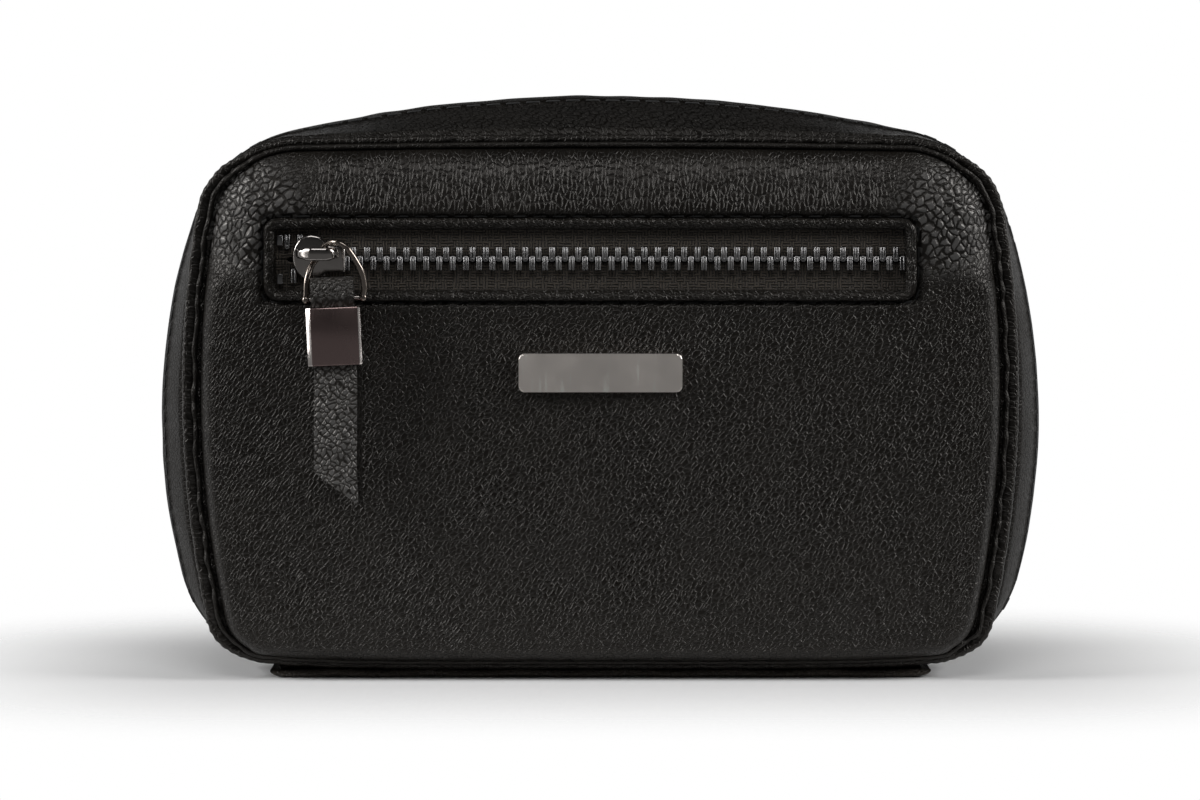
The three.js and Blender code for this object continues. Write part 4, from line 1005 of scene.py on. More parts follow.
def add_welt():
    base, normals, along = pocket_ring(0.0, 0.4)
    wave = WELT_WAVE(along)
    lines = []
    for out, high in WELT_PROFILE:
        pucker = max(high, 0.0) * (0.1 * WELT_PUCKER(along) + 0.1 * wave)
        places = base + normals * (out + 0.05 * wave * (out > 0.3))[:, None]
        lines.append(at_depth(places, -(FACE + high + pucker)))
    rings = np.stack(lines, 1)
    welt = piece(
        "pocket_welt_leather", hoop(rings), LEATHER_SKIN, "front_half", "pocket_welt", slot="leather",
    )
    leather_marks(welt, spread(along, run_along(rings[0])))
    places, normals, along = pocket_ring(CREASE, 0.25)
    index = np.searchsorted(along, np.arange(1.0, along[-1], STITCH_PITCH))
    ups = np.tile((0.0, -1.0, 0.0), (len(index), 1))
    stitches = capsules(at_depth(places[index], 0.5 - FACE), along_seam(normals[index]), ups, 2.8, 0.27)
    piece("pocket_stitches", stitches, THREAD, "front_half", slot="leather")


def add_tape(name, way):
    """One woven tape of the pocket zip, with a cord along its inner edge"""
    x = np.linspace(-68.6, 64.4, 200)
    wave = 0.05 * np.sin(x / 7.3) + 0.04 * np.sin(x / 3.1 + 1)
    closed = 0.55 * (1 - smooth_step(SLIDER_X - 6.6, SLIDER_X - 5.8, x))
    outer = []
    inner = []
    for z, out in TAPE_PROFILE:
        at = POCKET_Z + way * (z - closed * (1 - smooth_step(1.0, 3.0, z)))
        outer.append(np.stack([x, TAPE_FACE - out + wave * 0.6, at], -1))
        inner.append(np.stack([x, np.full_like(x, TAPE_BACK), at], -1))
    shape = loft(np.stack(outer + inner[::-1], 1))
    node_name = f"pocket_tape_{name}"
    tape = piece(f"{node_name}_cloth", shape, TAPE_CLOTH, "front_half", node_name, slot="zip_tape", sharp=60)
    cloth_marks(tape, shape[0][:, (0, 2)])


def tooth_shape():
    """One tooth, its head at the chain's middle: a rounded head and two round legs with a groove between"""
    legs = [rounded_rect(side * 0.33, 0.0, 0.52, 0.84, 0.25, 4) for side in (-1, 1)]
    head = rounded_rect(0.0, -0.2, 1.0, 0.8, 0.3, 4)
    core = [(-0.3, -0.2), (0.3, -0.2), (0.3, 2.2), (-0.3, 2.2)]
    return joined(
        *(rounded_prism(leg, -0.4, 2.35, 0.12, segments=2, axes="xy") for leg in legs),
        rounded_prism(head, -0.36, 0.4, 0.2),
        rounded_prism(core, 0.02, 0.38, 0.03, segments=1),
    )


def add_zip_metal(name, shape, node_name, material=TOOTH_METAL):
    piece(name, shape, material, "front_half", node_name, slot="gunmetal", sharp=35)


def add_teeth():
    shape, shape_faces = tooth_shape()
    for name, way, shift in (("upper", 1, 0.0), ("lower", -1, TOOTH_PITCH / 2)):
        teeth = []
        for x in np.arange(ROW_FROM + 0.53 + shift, ROW_TO, TOOTH_PITCH):
            run = (SLIDER_X + 3.6 - x) / SPREAD_RUN
            apart = ROW_SPREAD * float(smooth_step(0, 1, run))
            tilt = way * 0.16 * float(bell(run, 0.5, 0.35)) + rng.uniform(-0.03, 0.03)
            turned_x = shape[:, 0] * math.cos(tilt) - shape[:, 2] * math.sin(tilt)
            turned_z = shape[:, 0] * math.sin(tilt) + shape[:, 2] * math.cos(tilt)
            deep = CHAIN_Y + shape[:, 1] + CHAIN_LEAN * way * shape[:, 2]
            placed = np.column_stack([x + turned_x, deep, POCKET_Z + CHAIN_LIFT + way * (apart + turned_z)])
            teeth.append((placed, shape_faces))
        add_zip_metal(f"pocket_teeth_{name}_row", joined(*teeth), f"pocket_teeth_{name}")
        low = POCKET_Z + way * 2.9
        high = POCKET_Z + way * 5.0
        corners = [(-65.75, low), (-64.55, low), (-64.55, high), (-65.75, high)]
        stop = rounded_prism(corners, -29.95, -29.2, 0.2)
        add_zip_metal(f"pocket_stop_{name}_clip", stop, f"pocket_stop_{name}")
    end = rounded_prism(rounded_rect(62.9, POCKET_Z, 1.25, 4.7, 0.3, 3), -29.05, -28.3, 0.2)
    add_zip_metal("pocket_end_clip", end, "pocket_end_stop", GUNMETAL)


# Pocket slider and pull

SHIELD_TAIL = (
    (-0.2, -3.85), (0.9, -3.2), (1.7, -2.6), (5.3, -2.45), (5.4, -2.3),
    (5.4, 2.4), (5.3, 2.55), (2.4, 2.8), (1.3, 3.7), (0.1, 4.85),
)
BRIDGE_KNOTS = (
    (-4.1, -31.5), (-4.0, -32.4), (-3.4, -33.3), (-1.6, -34.5), (-1.2, -34.65), (0.0, -34.7),
    (1.5, -34.68), (1.9, -34.55), (2.9, -33.9), (3.4, -33.1), (3.6, -32.4), (3.7, -31.5),
)
WIRE_END = 0.9625  # share of the wire's span at its right end
WIRE_KNOTS = (
    (0, 0.415, -8.8), (0.03, 0.955, -4.84), (0.12, 1.855, -1.94), (0.26, 2.36, 0), (0.38, 1.0, 2.13),
    (0.55, -0.886, 2.6), (0.72, -1.6, 1.6), (0.87, -1.33, -1.06), (0.97, -0.8, -3.8), (1, -0.22, -6.6),
    (WIRE_END, 0.415, -8.8),
)
STRAP_HALF = 4.35
STRAP_COLUMNS = 17
LEAF = 0.98
CLAMP_TOP = PIN_DROP - 1.7
CLAMP_FOOT = CLAMP_TOP - 11.8
STRAP_FOOT = PIN_DROP - 34.9
STRAP_SLANT = 7.2
FOLD_RADIUS = 1.85


def add_slider():
    outline = []
    for angle in np.linspace(math.pi / 2, 1.5 * math.pi, 13):
        outline.append((SLIDER_X - 1.6 + 3.75 * math.cos(angle), POCKET_Z + 0.55 + 4.6 * math.sin(angle)))
    outline += [(SLIDER_X + x, POCKET_Z + z) for x, z in SHIELD_TAIL]
    front = domed_plate(outline, -31.0, -30.32, 0.34, 0.55)
    back = rounded_prism(outline, -28.03, -27.08, 0.25)
    plates = joined(front, back)
    piece("slider_shield", plates, GUNMETAL, "pocket_slider", "slider_body", slot="gunmetal", sharp=35)


def add_bridge():
    """The arched bar that carries the pull, slimmer at its two feet"""
    path = smooth_path([(SLIDER_X + x, y, BAR_Z + 0.35) for x, y in BRIDGE_KNOTS], 60)
    outward = np.cross(unit(np.gradient(path, axis=0)), (0.0, 0.0, 1.0))
    cos = np.cos(circle(20))
    wide = 1.32 * np.sign(cos) * np.abs(cos) ** 0.75
    thick = 0.5 * np.sin(circle(20))
    slim = 1 - 0.25 * smooth_step(2.2, 3.3, np.abs(path[:, 0] - SLIDER_X))
    rings = path[:, None, :] + thick[None, :, None] * outward[:, None, :]
    rings[:, :, 2] += slim[:, None] * wide
    bar = loft(rings)
    piece("slider_bridge_bar", bar, GUNMETAL, "pocket_slider", "slider_bridge", slot="gunmetal", sharp=35)


def turned_about_y(points, turn, x, y, z):
    """Points turned in x and z, and then moved"""
    cos = math.cos(turn)
    sin = math.sin(turn)
    turned_x = points[:, 0] * cos - points[:, 2] * sin
    turned_z = points[:, 0] * sin + points[:, 2] * cos
    return np.column_stack([x + turned_x, y + points[:, 1], z + turned_z])


def hung(shape):
    """A shape in the pull's own axes at the middle of the bar, moved to the case's, a little askew"""
    points, faces = shape
    return turned_about_y(points, PULL_TILT, SLIDER_X, BAR_Y, BAR_Z), faces


def add_ring():
    path = smooth_path([(WIRE_LEFT + share * WIRE_SPAN, y, z) for share, y, z in WIRE_KNOTS], 90)
    wire = tube(path, 0.58 + 0.1 * smooth_step(1.5, 4.0, -path[:, 2]), 14)
    right = WIRE_LEFT + WIRE_END * WIRE_SPAN
    wire = hung(joined(wire, *(ball((x, PIN_Y, PIN_DROP), 0.88) for x in (WIRE_LEFT, right))))
    piece("pull_ring_wire", wire, WIRE_METAL, "pull_ring", "pull_wire", slot="gunmetal", sharp=50)
    rod = [(x, PIN_Y, PIN_DROP) for x in np.linspace(WIRE_LEFT - 0.5, right + 0.5, 6)]
    pin = hung(tube(rod, 0.48, 14))
    piece("pull_ring_pin", pin, GUNMETAL, "pull_ring", "pull_pin", slot="gunmetal", sharp=50)


def strap_leaf(sign, shift):
    """One leaf of the strap below the pin: rows down its length, columns across, with a slanting foot"""
    across = np.linspace(-1, 1, STRAP_COLUMNS)
    top = CLAMP_TOP + 0.6
    foot = STRAP_FOOT - STRAP_SLANT * (across + 1) / 2
    z = top + (foot - top) * np.linspace(0, 1, 90)[:, None]
    below = CLAMP_FOOT - z
    x = STRAP_X + across * STRAP_HALF + shift * np.clip(below / 1.6, 0, 1) - 1.1 * np.clip(below / 22.0, 0, 1)
    edge = 1 - across**2
    wave = ripple(4, 8.0, 51 + int(shift))
    free = np.clip(below / 8.0, 0, 1)
    face = LEAF * (0.82 + 0.18 * np.sqrt(edge)) + free * 0.1 * wave(z) * (0.4 + 0.6 * edge)
    outer = np.stack([x, PIN_Y + sign * face, z], -1)
    inner = np.stack([x, np.full_like(x, PIN_Y - sign * 0.06), z], -1)
    return loft(np.concatenate([outer, inner[:, ::-1]], 1))


def strap_fold():
    """The strap's loop over the pin, from one leaf to the other"""
    top = PIN_DROP + 4.4 - FOLD_RADIUS
    rise = [(-LEAF, CLAMP_TOP - 0.3), (-LEAF - 0.35, CLAMP_TOP + 0.8)]
    rise += [(-FOLD_RADIUS, PIN_DROP + 0.3), (-FOLD_RADIUS, top)]
    bend = np.radians((150, 120, 90, 60, 30))
    route = rise + [(FOLD_RADIUS * math.cos(a), top + FOLD_RADIUS * math.sin(a)) for a in bend]
    route += [(-y, z) for y, z in rise[::-1]]
    line = smooth_path([(0, y, z) for y, z in route], 60)[:, 1:]
    inward = -left_of(line)
    across = np.linspace(-1, 1, STRAP_COLUMNS)
    skins = []
    for inset in (0.12 * (1 - np.sqrt(1 - across**8)), np.full(STRAP_COLUMNS, 0.95)):
        places = line[:, None, :] + inward[:, None, :] * inset[:, None]
        x = np.broadcast_to(STRAP_X + across * STRAP_HALF, places.shape[:2])
        skins.append(np.stack([x, PIN_Y + places[..., 0], places[..., 1]], -1))
    return loft(np.concatenate([skins[0], skins[1][:, ::-1]], 1))


def add_strap():
    front = joined(strap_leaf(-1, 0.0), strap_fold())
    back = strap_leaf(1, 1.0)
    strap = piece(
        "tab_strap", hung(front), STRAP_SHEEN_PAINTED_SKIN, "pull_tab", "tab_leather", slot="strap_leather", sharp=50,
    )
    x, y, z = front[0].T
    folded = smooth_step(CLAMP_TOP - 0.4, CLAMP_TOP, z)
    # Painted sheen on the pebble tops, full on the leaves and a little less on the fold, where it stands in
    # for the fold's highlight
    leather_marks(strap, np.column_stack([x, z + y]), scales_and_sheen=1 - 0.3 * folded, plain=0.2 * folded)
    # The back leaf takes the darker panel leather: painted shade behind the front leaf
    behind = piece("tab_strap_back_shaded", hung(back), LEATHER_SKIN, "pull_tab", slot="strap_leather", sharp=50)
    leather_marks(behind, back[0][:, (0, 2)], plain=0.6)


def add_clamp():
    """A square sleeve with soft edges round the strap"""
    half = np.array((5.5, 2.08))
    half_x, half_y = half
    left = [(-half_x, 0.1), (-half_x, 0.72 - half_y), (0.9 - half_x, 0.06 - half_y), (1.05 - half_x, -half_y)]
    right = [(half_x - 0.5, -half_y), (half_x - 0.4, 0.05 - half_y), (half_x, 0.33 - half_y), (half_x, 0.1)]
    back = [(half_x - 0.2, half_y - 0.3), (half_x - 0.5, half_y)]
    section = np.array(left + right + back + [(-x, y) for x, y in back[::-1]])
    hole_x = STRAP_HALF + 0.25
    hole_y = 1.28
    front = [(hole_x - 0.3, -hole_y), (hole_x, 0.3 - hole_y), (hole_x, -0.3), (hole_x, 0.0)]
    behind = [(hole_x, hole_y - 0.3), (hole_x - 0.3, hole_y)]
    hole = [(-x, y) for x, y in front[::-1]] + front + behind + [(-x, y) for x, y in behind[::-1]]
    levels = [(CLAMP_TOP - 0.02, 0.42), (CLAMP_TOP, 0.25), (CLAMP_TOP - 0.1, 0.1), (CLAMP_TOP - 0.32, 0.0)]
    levels += [(CLAMP_FOOT + 0.32, 0.0), (CLAMP_FOOT + 0.1, 0.1), (CLAMP_FOOT, 0.25), (CLAMP_FOOT, 0.42)]
    rings = [(section * (half - shrink) / half, z) for z, shrink in levels]
    rings += [(np.array(hole), z) for z in (CLAMP_FOOT + 0.05, CLAMP_TOP - 0.05)]
    sleeve = hoop(np.array([np.insert(ring + (STRAP_X, PIN_Y), 2, z, axis=1) for ring, z in rings]))
    clamp = mesh_object("tab_clamp_sleeve", hung(sleeve), SATIN_GUNMETAL, sharp=30)
    clamp.data.materials.append(GLINT_PAINTED_METAL)
    # Bevels facing the side lamps take the pale copy: a painted glint
    for face in clamp.data.polygons:
        if 0.4 < abs(face.normal.x) < 0.9 and face.normal.y < -0.3:
            face.material_index = 1
    settle(clamp, "pull_tab", "tab_clamp", slot="gunmetal")


# Nameplate, which is bare

def add_nameplate():
    corners = rounded_rect(0, PLATE_Z, PLATE_WIDTH, PLATE_HEIGHT, 1.1, 6)
    plate = rounded_prism(corners, -FACE - 0.98, -FACE + 0.35, 0.34, segments=4)
    piece("nameplate_face", plate, NICKEL, "front_half", "nameplate", slot="nickel", sharp=30)


# Spine

SPINE_WAVE = ripple(4, 17.0, 61)
SPINE_END = 3.4  # length over which each end thins out
SPINE_LIP = ((23.2, 0.0), (23.75, 0.12), (24.1, 0.4), (24.2, 0.8), (24.05, 1.2), (23.6, 1.5), (22.8, 1.6))


def add_spine():
    straight = SPINE_HALF - 0.6 - SPINE_END
    run = np.linspace(0, math.pi / 2, 10)
    end_x = straight + SPINE_END * np.sin(run)
    end_lift = 1.35 * (1 - np.cos(run))
    x = np.concatenate([-end_x[::-1], np.linspace(-straight, straight, 120)[1:-1], end_x])
    lift = np.concatenate([end_lift[::-1], np.zeros(118), end_lift])
    right = [(y, 0.0) for y in np.linspace(0, 22.4, 14)] + list(SPINE_LIP)
    back = [(y, 1.3) for y in np.linspace(21.5, 0, 14)]
    section = np.array(right + back + [(-y, z) for y, z in back[-2::-1]] + [(-y, z) for y, z in right[:0:-1]])
    wave = 0.05 * (1 + SPINE_WAVE(x))[:, None] * (np.abs(section[:, 0]) > 22.5)
    rings = np.empty((len(x), len(section), 3))
    rings[:, :, 0] = x[:, None]
    rings[:, :, 1] = section[:, 0]
    rings[:, :, 2] = section[:, 1] + lift[:, None] * (1 - section[:, 1] / 1.6) + wave
    strip = loft(rings)
    # Its leather is painted lighter, standing in for light in the case's shadow
    spine = piece("spine_strip", strip, SPINE_LIGHTENED_SKIN, "spine", "spine_leather", slot="leather", sharp=50)
    x, y, z = strip[0].T
    leather_marks(spine, np.column_stack([x, y + z]))


# Lining and hinges

LINING = 0.5
LINING_DEPTHS = {"front": 22.0, "rear": 23.7}
FLOOR_RIPPLE = swell(9, 19.0, 71)
WALL_RIPPLE = ripple(5, 13.0, 72)
HINGE_POINTS = 26


def wall_sheet(steps, side, levels, insets, lifts=None):
    """A sheet along a gusset's wall, between two insets"""
    grids = []
    for inset in insets:
        lines = []
        for k, level in enumerate(levels):
            lines.append(wall_line(steps, side, level, inset, lifts[k] if lifts else 0.0))
        grids.append(np.stack(lines, 1))
    return shell(*grids)


def add_lining_sheet(name, side, depth):
    ring, normals, _ = panel_ring(2.2)
    rings = [ring - normals * inset for inset in (5.5, 6.0, 7.0, 9.0, 12.0)]
    field = spread(np.arange(10, 106, 3.2), np.arange(-78, 79, 3.2))[:, ::-1]
    field = field[rim_distance(field, ring, normals)[0] > 13.5]
    spots, faces = triangles(np.concatenate([*rings, field]))
    inset, _ = rim_distance(spots, ring, normals)
    rise = 0.12 * FLOOR_RIPPLE(*spots.T) * smooth_step(6, 14, inset)
    curl = 0.9 * (1 - smooth_step(5.5, 8.0, inset))
    points = at_depth(spots, side * (depth - LINING - rise - curl - 0.2))
    sheet = mesh_object(f"{name}_lining_sheet", (points, faces), LINING_CLOTH)
    face_along_y(sheet, -side)
    cloth_marks(sheet, spots)
    thicken(sheet, 0.45)
    settle(sheet, f"{name}_half", slot="lining")


def add_lining(name, side):
    """The lining of one half: a sheet over the board and a wall up to the main zip"""
    depth = LINING_DEPTHS[name]
    add_lining_sheet(name, side, depth)
    steps, along = even_steps(220)
    deep = np.array([depth - 0.35, depth - 1.0, 20.0, 17.5, 15.0, 12.5, 10.5, 9.2, 8.55])
    lifts = []
    for level in deep:
        bulge = 0.14 * WALL_RIPPLE(along) * math.sin(math.pi * (depth - level) / (depth - 8.3))
        lifts.append(-np.maximum(bulge, -0.1))
    shape = wall_sheet(steps, side, deep, (5.6, 5.15), lifts)
    wall = piece(f"{name}_lining_wall", shape, LINING_CLOTH, f"{name}_half", f"{name}_lining", slot="lining")
    cloth_marks(wall, np.tile(spread(along, deep), (2, 1)))


def add_spine_lining():
    half_y = 17.8
    x, y = np.meshgrid(np.linspace(-64.4, 64.4, 90), np.linspace(-half_y, half_y, 30), indexing="ij")
    soft = 0.1 * FLOOR_RIPPLE(x, y) * smooth_step(0, 4, half_y - np.abs(y))
    shape = shell(np.stack([x, y, 3.3 + soft], -1), np.stack([x, y, np.full_like(x, 2.85)], -1))
    sheet = piece("spine_lining_sheet", shape, LINING_CLOTH, "spine", "spine_lining", slot="lining")
    cloth_marks(sheet, shape[0][:, :2])


def hinge_strip(name, side, route, half_length, thickness, material):
    """A strip that bends between the spine and one half, along a route of depth and height"""
    line = smooth_path([(0.0, y, z) for y, z in route], HINGE_POINTS)[:, 1:]
    x = np.linspace(-half_length, half_length, 110)
    grids = []
    for way in (0.5, -0.5):
        edge = (line + left_of(line) * way * thickness) * (side, 1)
        grids.append(np.stack([np.insert(edge, 0, at, axis=1) for at in x]))
    strip = mesh_object(name, shell(*grids), material)
    run = np.linspace(0, run_along(line)[-1], HINGE_POINTS)
    return strip, np.tile(spread(x, run), (2, 1))


def bend_with(strip, side, start, end):
    """Bakes a strip's place into its mesh; the two places of depth and height that it is given are not used
    """
    start_y, start_z = start
    end_y, end_z = end
    start = (0.0, side * start_y * MM, start_z * MM)
    end = (0.0, side * end_y * MM, end_z * MM)
    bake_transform(strip)


def add_hinges(name, side):
    """Leather and lining that run on from the spine into one half"""
    route = [(19.6, 0.95), (21.4, 1.9), (22.6, 3.0), (23.4, 3.9), (24.2, 4.5), (25.0, 5.4)]
    strip, flat = hinge_strip(f"{name}_hinge_leather", side, route, 66.0, 0.7, LEATHER_SKIN)
    leather_marks(strip, flat, plain=0.4)
    bend_with(strip, side, (22.4, 2.8), (24.4, 4.6))
    depth = LINING_DEPTHS[name] - 0.9
    route = [(16.6, 3.55), (18.2, 3.75), (19.8, 4.9)]
    route += [(depth - 0.4, 7.2), (depth - 0.2, 9.4), (depth - 0.25, 11.0)]
    strip, flat = hinge_strip(f"{name}_hinge_lining", side, route, 63.5, 0.4, LINING_CLOTH)
    cloth_marks(strip, flat)
    bend_with(strip, side, (17.4, 3.4), (depth, 9.0))


# Fittings inside

RIB_PITCH = 1.5
SLIP_FACE = -20.85
SLIP_HALF = 65.0
SLIP_FOOT = 12.0
SLIP_HEIGHT = 56.0
SLIP_CORNER = 9.0
METER_MIDDLE = -24.0
METER_REACH = 31.0
LOOP_X = 42.0
LOOP_RADIUS = 7.45
LOOP_FACE = 22.85


def stitch_rows(name, ends, facing, body, slot):
    """Straight rows of stitches between pairs of places, on a face that looks along y"""
    for k, (start, stop) in enumerate(np.array(ends)):
        span = np.linalg.norm(stop - start)
        count = max(2, int(span / 3.2))
        spots = start + (stop - start) * ((np.arange(count) + 0.5) / count)[:, None]
        ways = np.tile((stop - start) / span, (count, 1))
        ups = np.tile((0.0, facing, 0.0), (count, 1))
        piece(f"{name}_{k}", capsules(spots, ways, ups, 2.2, 0.24), INNER_THREAD, body, slot=slot)


def add_slip_pocket():
    """A cloth pocket on the front half's lining, open at the top, with a bound edge"""
    x, z = np.meshgrid(np.linspace(-1, 1, 81), np.linspace(0, 1, 41), indexing="ij")
    height = SLIP_FOOT + SLIP_HEIGHT * z
    corner = np.clip((SLIP_FOOT + SLIP_CORNER - height) / SLIP_CORNER, 0, 1)
    across = x * (SLIP_HALF - SLIP_CORNER * (1 - np.sqrt(1 - corner**2)))
    belly = 0.75 * z**1.5 * (1 - x**4) + 0.1 * FLOOR_RIPPLE(across, height) * (1 - x**8)
    outer = np.stack([across, SLIP_FACE + np.clip(belly, -0.1, 1.0), height], -1)
    shape = shell(outer, outer + (0.0, -0.4, 0.0))
    pocket = piece("slip_pocket_cloth", shape, LINING_CLOTH, "front_half", "slip_pocket", slot="lining")
    cloth_marks(pocket, shape[0][:, (0, 2)] + (3.1, 1.7))
    path = np.linspace(-62.5, 62.5, 100)
    front = SLIP_FACE + 0.2 + 0.75 * (1 - (path / SLIP_HALF) ** 4)
    rings = np.empty((100, 14, 3))
    rings[:, :, 0] = path[:, None]
    rings[:, :, 1] = front[:, None] + 0.55 * np.cos(circle(14))
    rings[:, :, 2] = 68.9 + 1.35 * np.sin(circle(14))
    binding = piece(
        "slip_pocket_edge", loft(rings), ELASTIC_CLOTH, "front_half", "slip_pocket_binding", slot="elastic",
    )
    cloth_marks(binding, spread(path, np.arange(14) * 0.45))
    ends = [((at, -20.75, 22.0), (at, -20.55, 66.5)) for at in (-63.6, 63.6)]
    stitch_rows("slip_pocket_stitches", ends, 1.0, "front_half", "lining")


def add_meter_strap():
    """A ribbed elastic band that holds the meter to the rear half"""
    x, z = np.meshgrid(np.linspace(-55.0, 7.0, 90), np.linspace(45.2, 70.8, 120), indexing="ij")
    ribs = 0.11 * np.cos(2 * math.pi * z / RIB_PITCH)
    free = np.maximum(1 - ((x - METER_MIDDLE) / METER_REACH) ** 2, 0)
    bow = 0.5 * free
    narrowed = z - 0.9 * free * (z - 58.0) / 12.8
    outer = np.stack([x, 22.15 - ribs - bow, narrowed], -1)
    inner = np.stack([x, 22.85 - bow * 0.9, narrowed], -1)
    shape = shell(outer, inner)
    band = piece("meter_strap_elastic", shape, ELASTIC_CLOTH, "rear_half", "meter_strap", slot="elastic")
    cloth_marks(band, shape[0][:, (0, 2)])
    ends = [((at, 21.98, 46.2), (at, 21.98, 69.8)) for at in (-53.4, -51.6, 3.6, 5.4)]
    stitch_rows("meter_strap_stitches", ends, -1.0, "rear_half", "elastic")


def add_pen_loop():
    """An elastic loop for a pen, sewn down at both sides"""
    side = [(13.9, 0.45), (10.5, 0.45), (7.8, 0.7), (7.0, 2.2)]
    bend = np.radians((155, 125, 90, 55, 25))
    route = [(-x, high) for x, high in side]
    route += [(LOOP_RADIUS * math.cos(a), LOOP_RADIUS * math.sin(a)) for a in bend]
    route += side[::-1]
    line = smooth_path([(LOOP_X + x, LOOP_FACE - high, 0.0) for x, high in route], 90)[:, :2]
    aside = -left_of(line)
    z = np.linspace(46.1, 69.9, 110)
    ribs = 0.1 * np.cos(2 * math.pi * z / RIB_PITCH)
    grids = []
    for offset in (0.4 + ribs, -0.4 - 0.5 * ribs):
        edge = line[:, None, :] + aside[:, None, :] * offset[None, :, None]
        grids.append(np.concatenate([edge, np.broadcast_to(z[None, :, None], (*edge.shape[:2], 1))], -1))
    loop = piece("pen_loop_elastic", shell(*grids), ELASTIC_CLOTH, "rear_half", "pen_loop", slot="elastic")
    run = np.linspace(0, run_along(line)[-1], len(line))
    cloth_marks(loop, np.tile(spread(run, z), (2, 1)))
    ends = [((at, LOOP_FACE - 0.95, 47.2), (at, LOOP_FACE - 0.95, 68.8)) for at in (29.6, 31.4, 52.6, 54.4)]
    stitch_rows("pen_loop_stitches", ends, -1.0, "rear_half", "elastic")


# Main zip

COIL_PITCH = 1.25
COIL_POINTS = 10
COIL_Y = 0.9
MAIN_CENTRE = (-39.8848, 52.3082)  # centre of the arc that the slider runs along
MAIN_TURN = math.radians(-7.918)
PULL_AXIS = 129.5  # distance of the pull's rod from that centre
ARCH = (
    (128.76, -2.95), (130.1, -2.95), (130.75, -2.3), (130.9, -1.2), (130.9, 1.2),
    (130.75, 2.3), (130.1, 2.95), (128.76, 2.95),
    (128.76, 2.2), (130.25, 2.2), (130.25, -2.2), (128.76, -2.2),
)


def add_main_zip(name, side):
    """One tape and one coil of the zip that closes the case"""
    steps, along = even_steps(300)
    levels = np.array((8.15, 6.6, 5.2, 4.2, 3.4, 2.3, 0.3))
    shape = wall_sheet(steps, side, levels, (5.12, 5.55))
    half = f"{name}_half"
    tape = piece(
        f"{name}_zip_tape_cloth", shape, TAPE_CLOTH, half, f"{name}_zip_tape", slot="zip_tape", sharp=60,
    )
    cloth_marks(tape, np.tile(spread(along, levels[0] - levels), (2, 1)))
    marks = np.arange(1.5, SEAM_LENGTH - 1.5, COIL_PITCH / COIL_POINTS)
    turn = 2 * math.pi * np.arange(len(marks)) / COIL_POINTS + (math.pi if side > 0 else 0.0)
    places, normals = wall_points(steps_at(marks), 1.5, 5.35)
    places = places + normals * (0.6 * np.sin(turn))[:, None]
    coil = tube(at_depth(places, side * (COIL_Y + 0.78 * np.cos(turn))), 0.3, 6)
    piece(f"{name}_zip_coil_wire", coil, NYLON, half, f"{name}_zip_coil", slot="zip_coil")


def add_on_side(name, shape, body, node_name):
    """A piece built outward, across and along on the arc of the case's side"""
    points, faces = shape
    points = turned_about_y(points, MAIN_TURN, MAIN_CENTRE[0], 0.0, MAIN_CENTRE[1])
    piece(name, (points, faces), GUNMETAL, body, node_name, slot="gunmetal", sharp=35)


def faced_out(plate):
    """A plate built with its front to -y, turned so that its front faces outward along x"""
    points, faces = plate
    return np.column_stack([-points[:, 1], points[:, 0], points[:, 2]]), faces


def add_main_slider():
    outline = [(3.8 * math.sin(a), 1.3 + 3.85 * math.cos(a)) for a in np.radians(np.linspace(-90, 90, 15))]
    outline += [(3.0, -1.4), (2.7, -4.6), (2.3, -5.15), (-2.3, -5.15), (-2.7, -4.6), (-3.0, -1.4)]
    upper = faced_out(domed_plate(outline, -128.45, -127.88, 0.15, 0.3))
    lower = faced_out(domed_plate(outline, -124.45, -123.7, 0.0, 0.2))
    post = [(-0.28, -5.1), (0.28, -5.1), (0.18, -1.8), (-0.18, -1.8)]
    core = rounded_prism(post, 124.2, 128.1, 0.0, axes="yz")
    add_on_side("main_slider_shield", joined(upper, lower, core), "main_slider", "main_slider_body")
    arch = rounded_prism(ARCH, -0.98, 0.98, 0.22)
    add_on_side("main_slider_arch", arch, "main_slider", "main_slider_bridge")


def add_main_pull():
    rod = [(PULL_AXIS, y, 0.0) for y in np.linspace(-2.6, 2.6, 8)]
    parts = [tube(rod, 0.53, 14, round_ends=True)]
    for y in (-2.0, 2.0):
        arm = [(PULL_AXIS, y, 0.0), (PULL_AXIS, y, -3.4), (129.3, y, -5.4), (128.95, y, -6.8)]
        parts.append(tube(smooth_path(arm, 16), 0.52, 12))
    tab = [(2.6, -6.4), (2.2, -14.6)]
    tab += [(2.2 * math.cos(a), -14.7 + 2.2 * math.sin(a)) for a in np.radians(np.linspace(0, -180, 13))]
    tab += [(-2.2, -14.6), (-2.6, -6.4)]
    parts.append(rounded_prism(tab, 128.35, 129.35, 0.28, axes="yz"))
    add_on_side("main_pull_tab", joined(*parts), "main_pull", "main_pull")


# Pieces that keep their solids

KEPT_SOLIDS = {
    "front_foam": FOAM, "rear_foam": FOAM, "front_board": BOARD, "rear_board": BOARD,
    "pocket_bag": PLAIN_LINING, "spine_board": PLAIN_LINING, "nameplate_backing": GUNMETAL,
}


def dress(name, material):
    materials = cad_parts[name].data.materials
    materials.clear()
    materials.append(material)


# Stage

CAMERA_PLACE = (-0.1, -892.4, 110.0)
CAMERA_TARGET = (-0.1, -24.4, 57.3)
CAMERA_LENS = 127.3


def aim(obj, place, target):
    obj.location = Vector(place) * MM
    obj.rotation_euler = (Vector(target) - Vector(place)).to_track_quat("-Z", "Y").to_euler()


def add_camera():
    data = bpy.data.cameras.new("camera")
    data.lens = CAMERA_LENS
    data.sensor_width = 36.0
    data.clip_start = 0.01
    camera = new_object("camera", data)
    aim(camera, CAMERA_PLACE, CAMERA_TARGET)
    bpy.context.scene.camera = camera


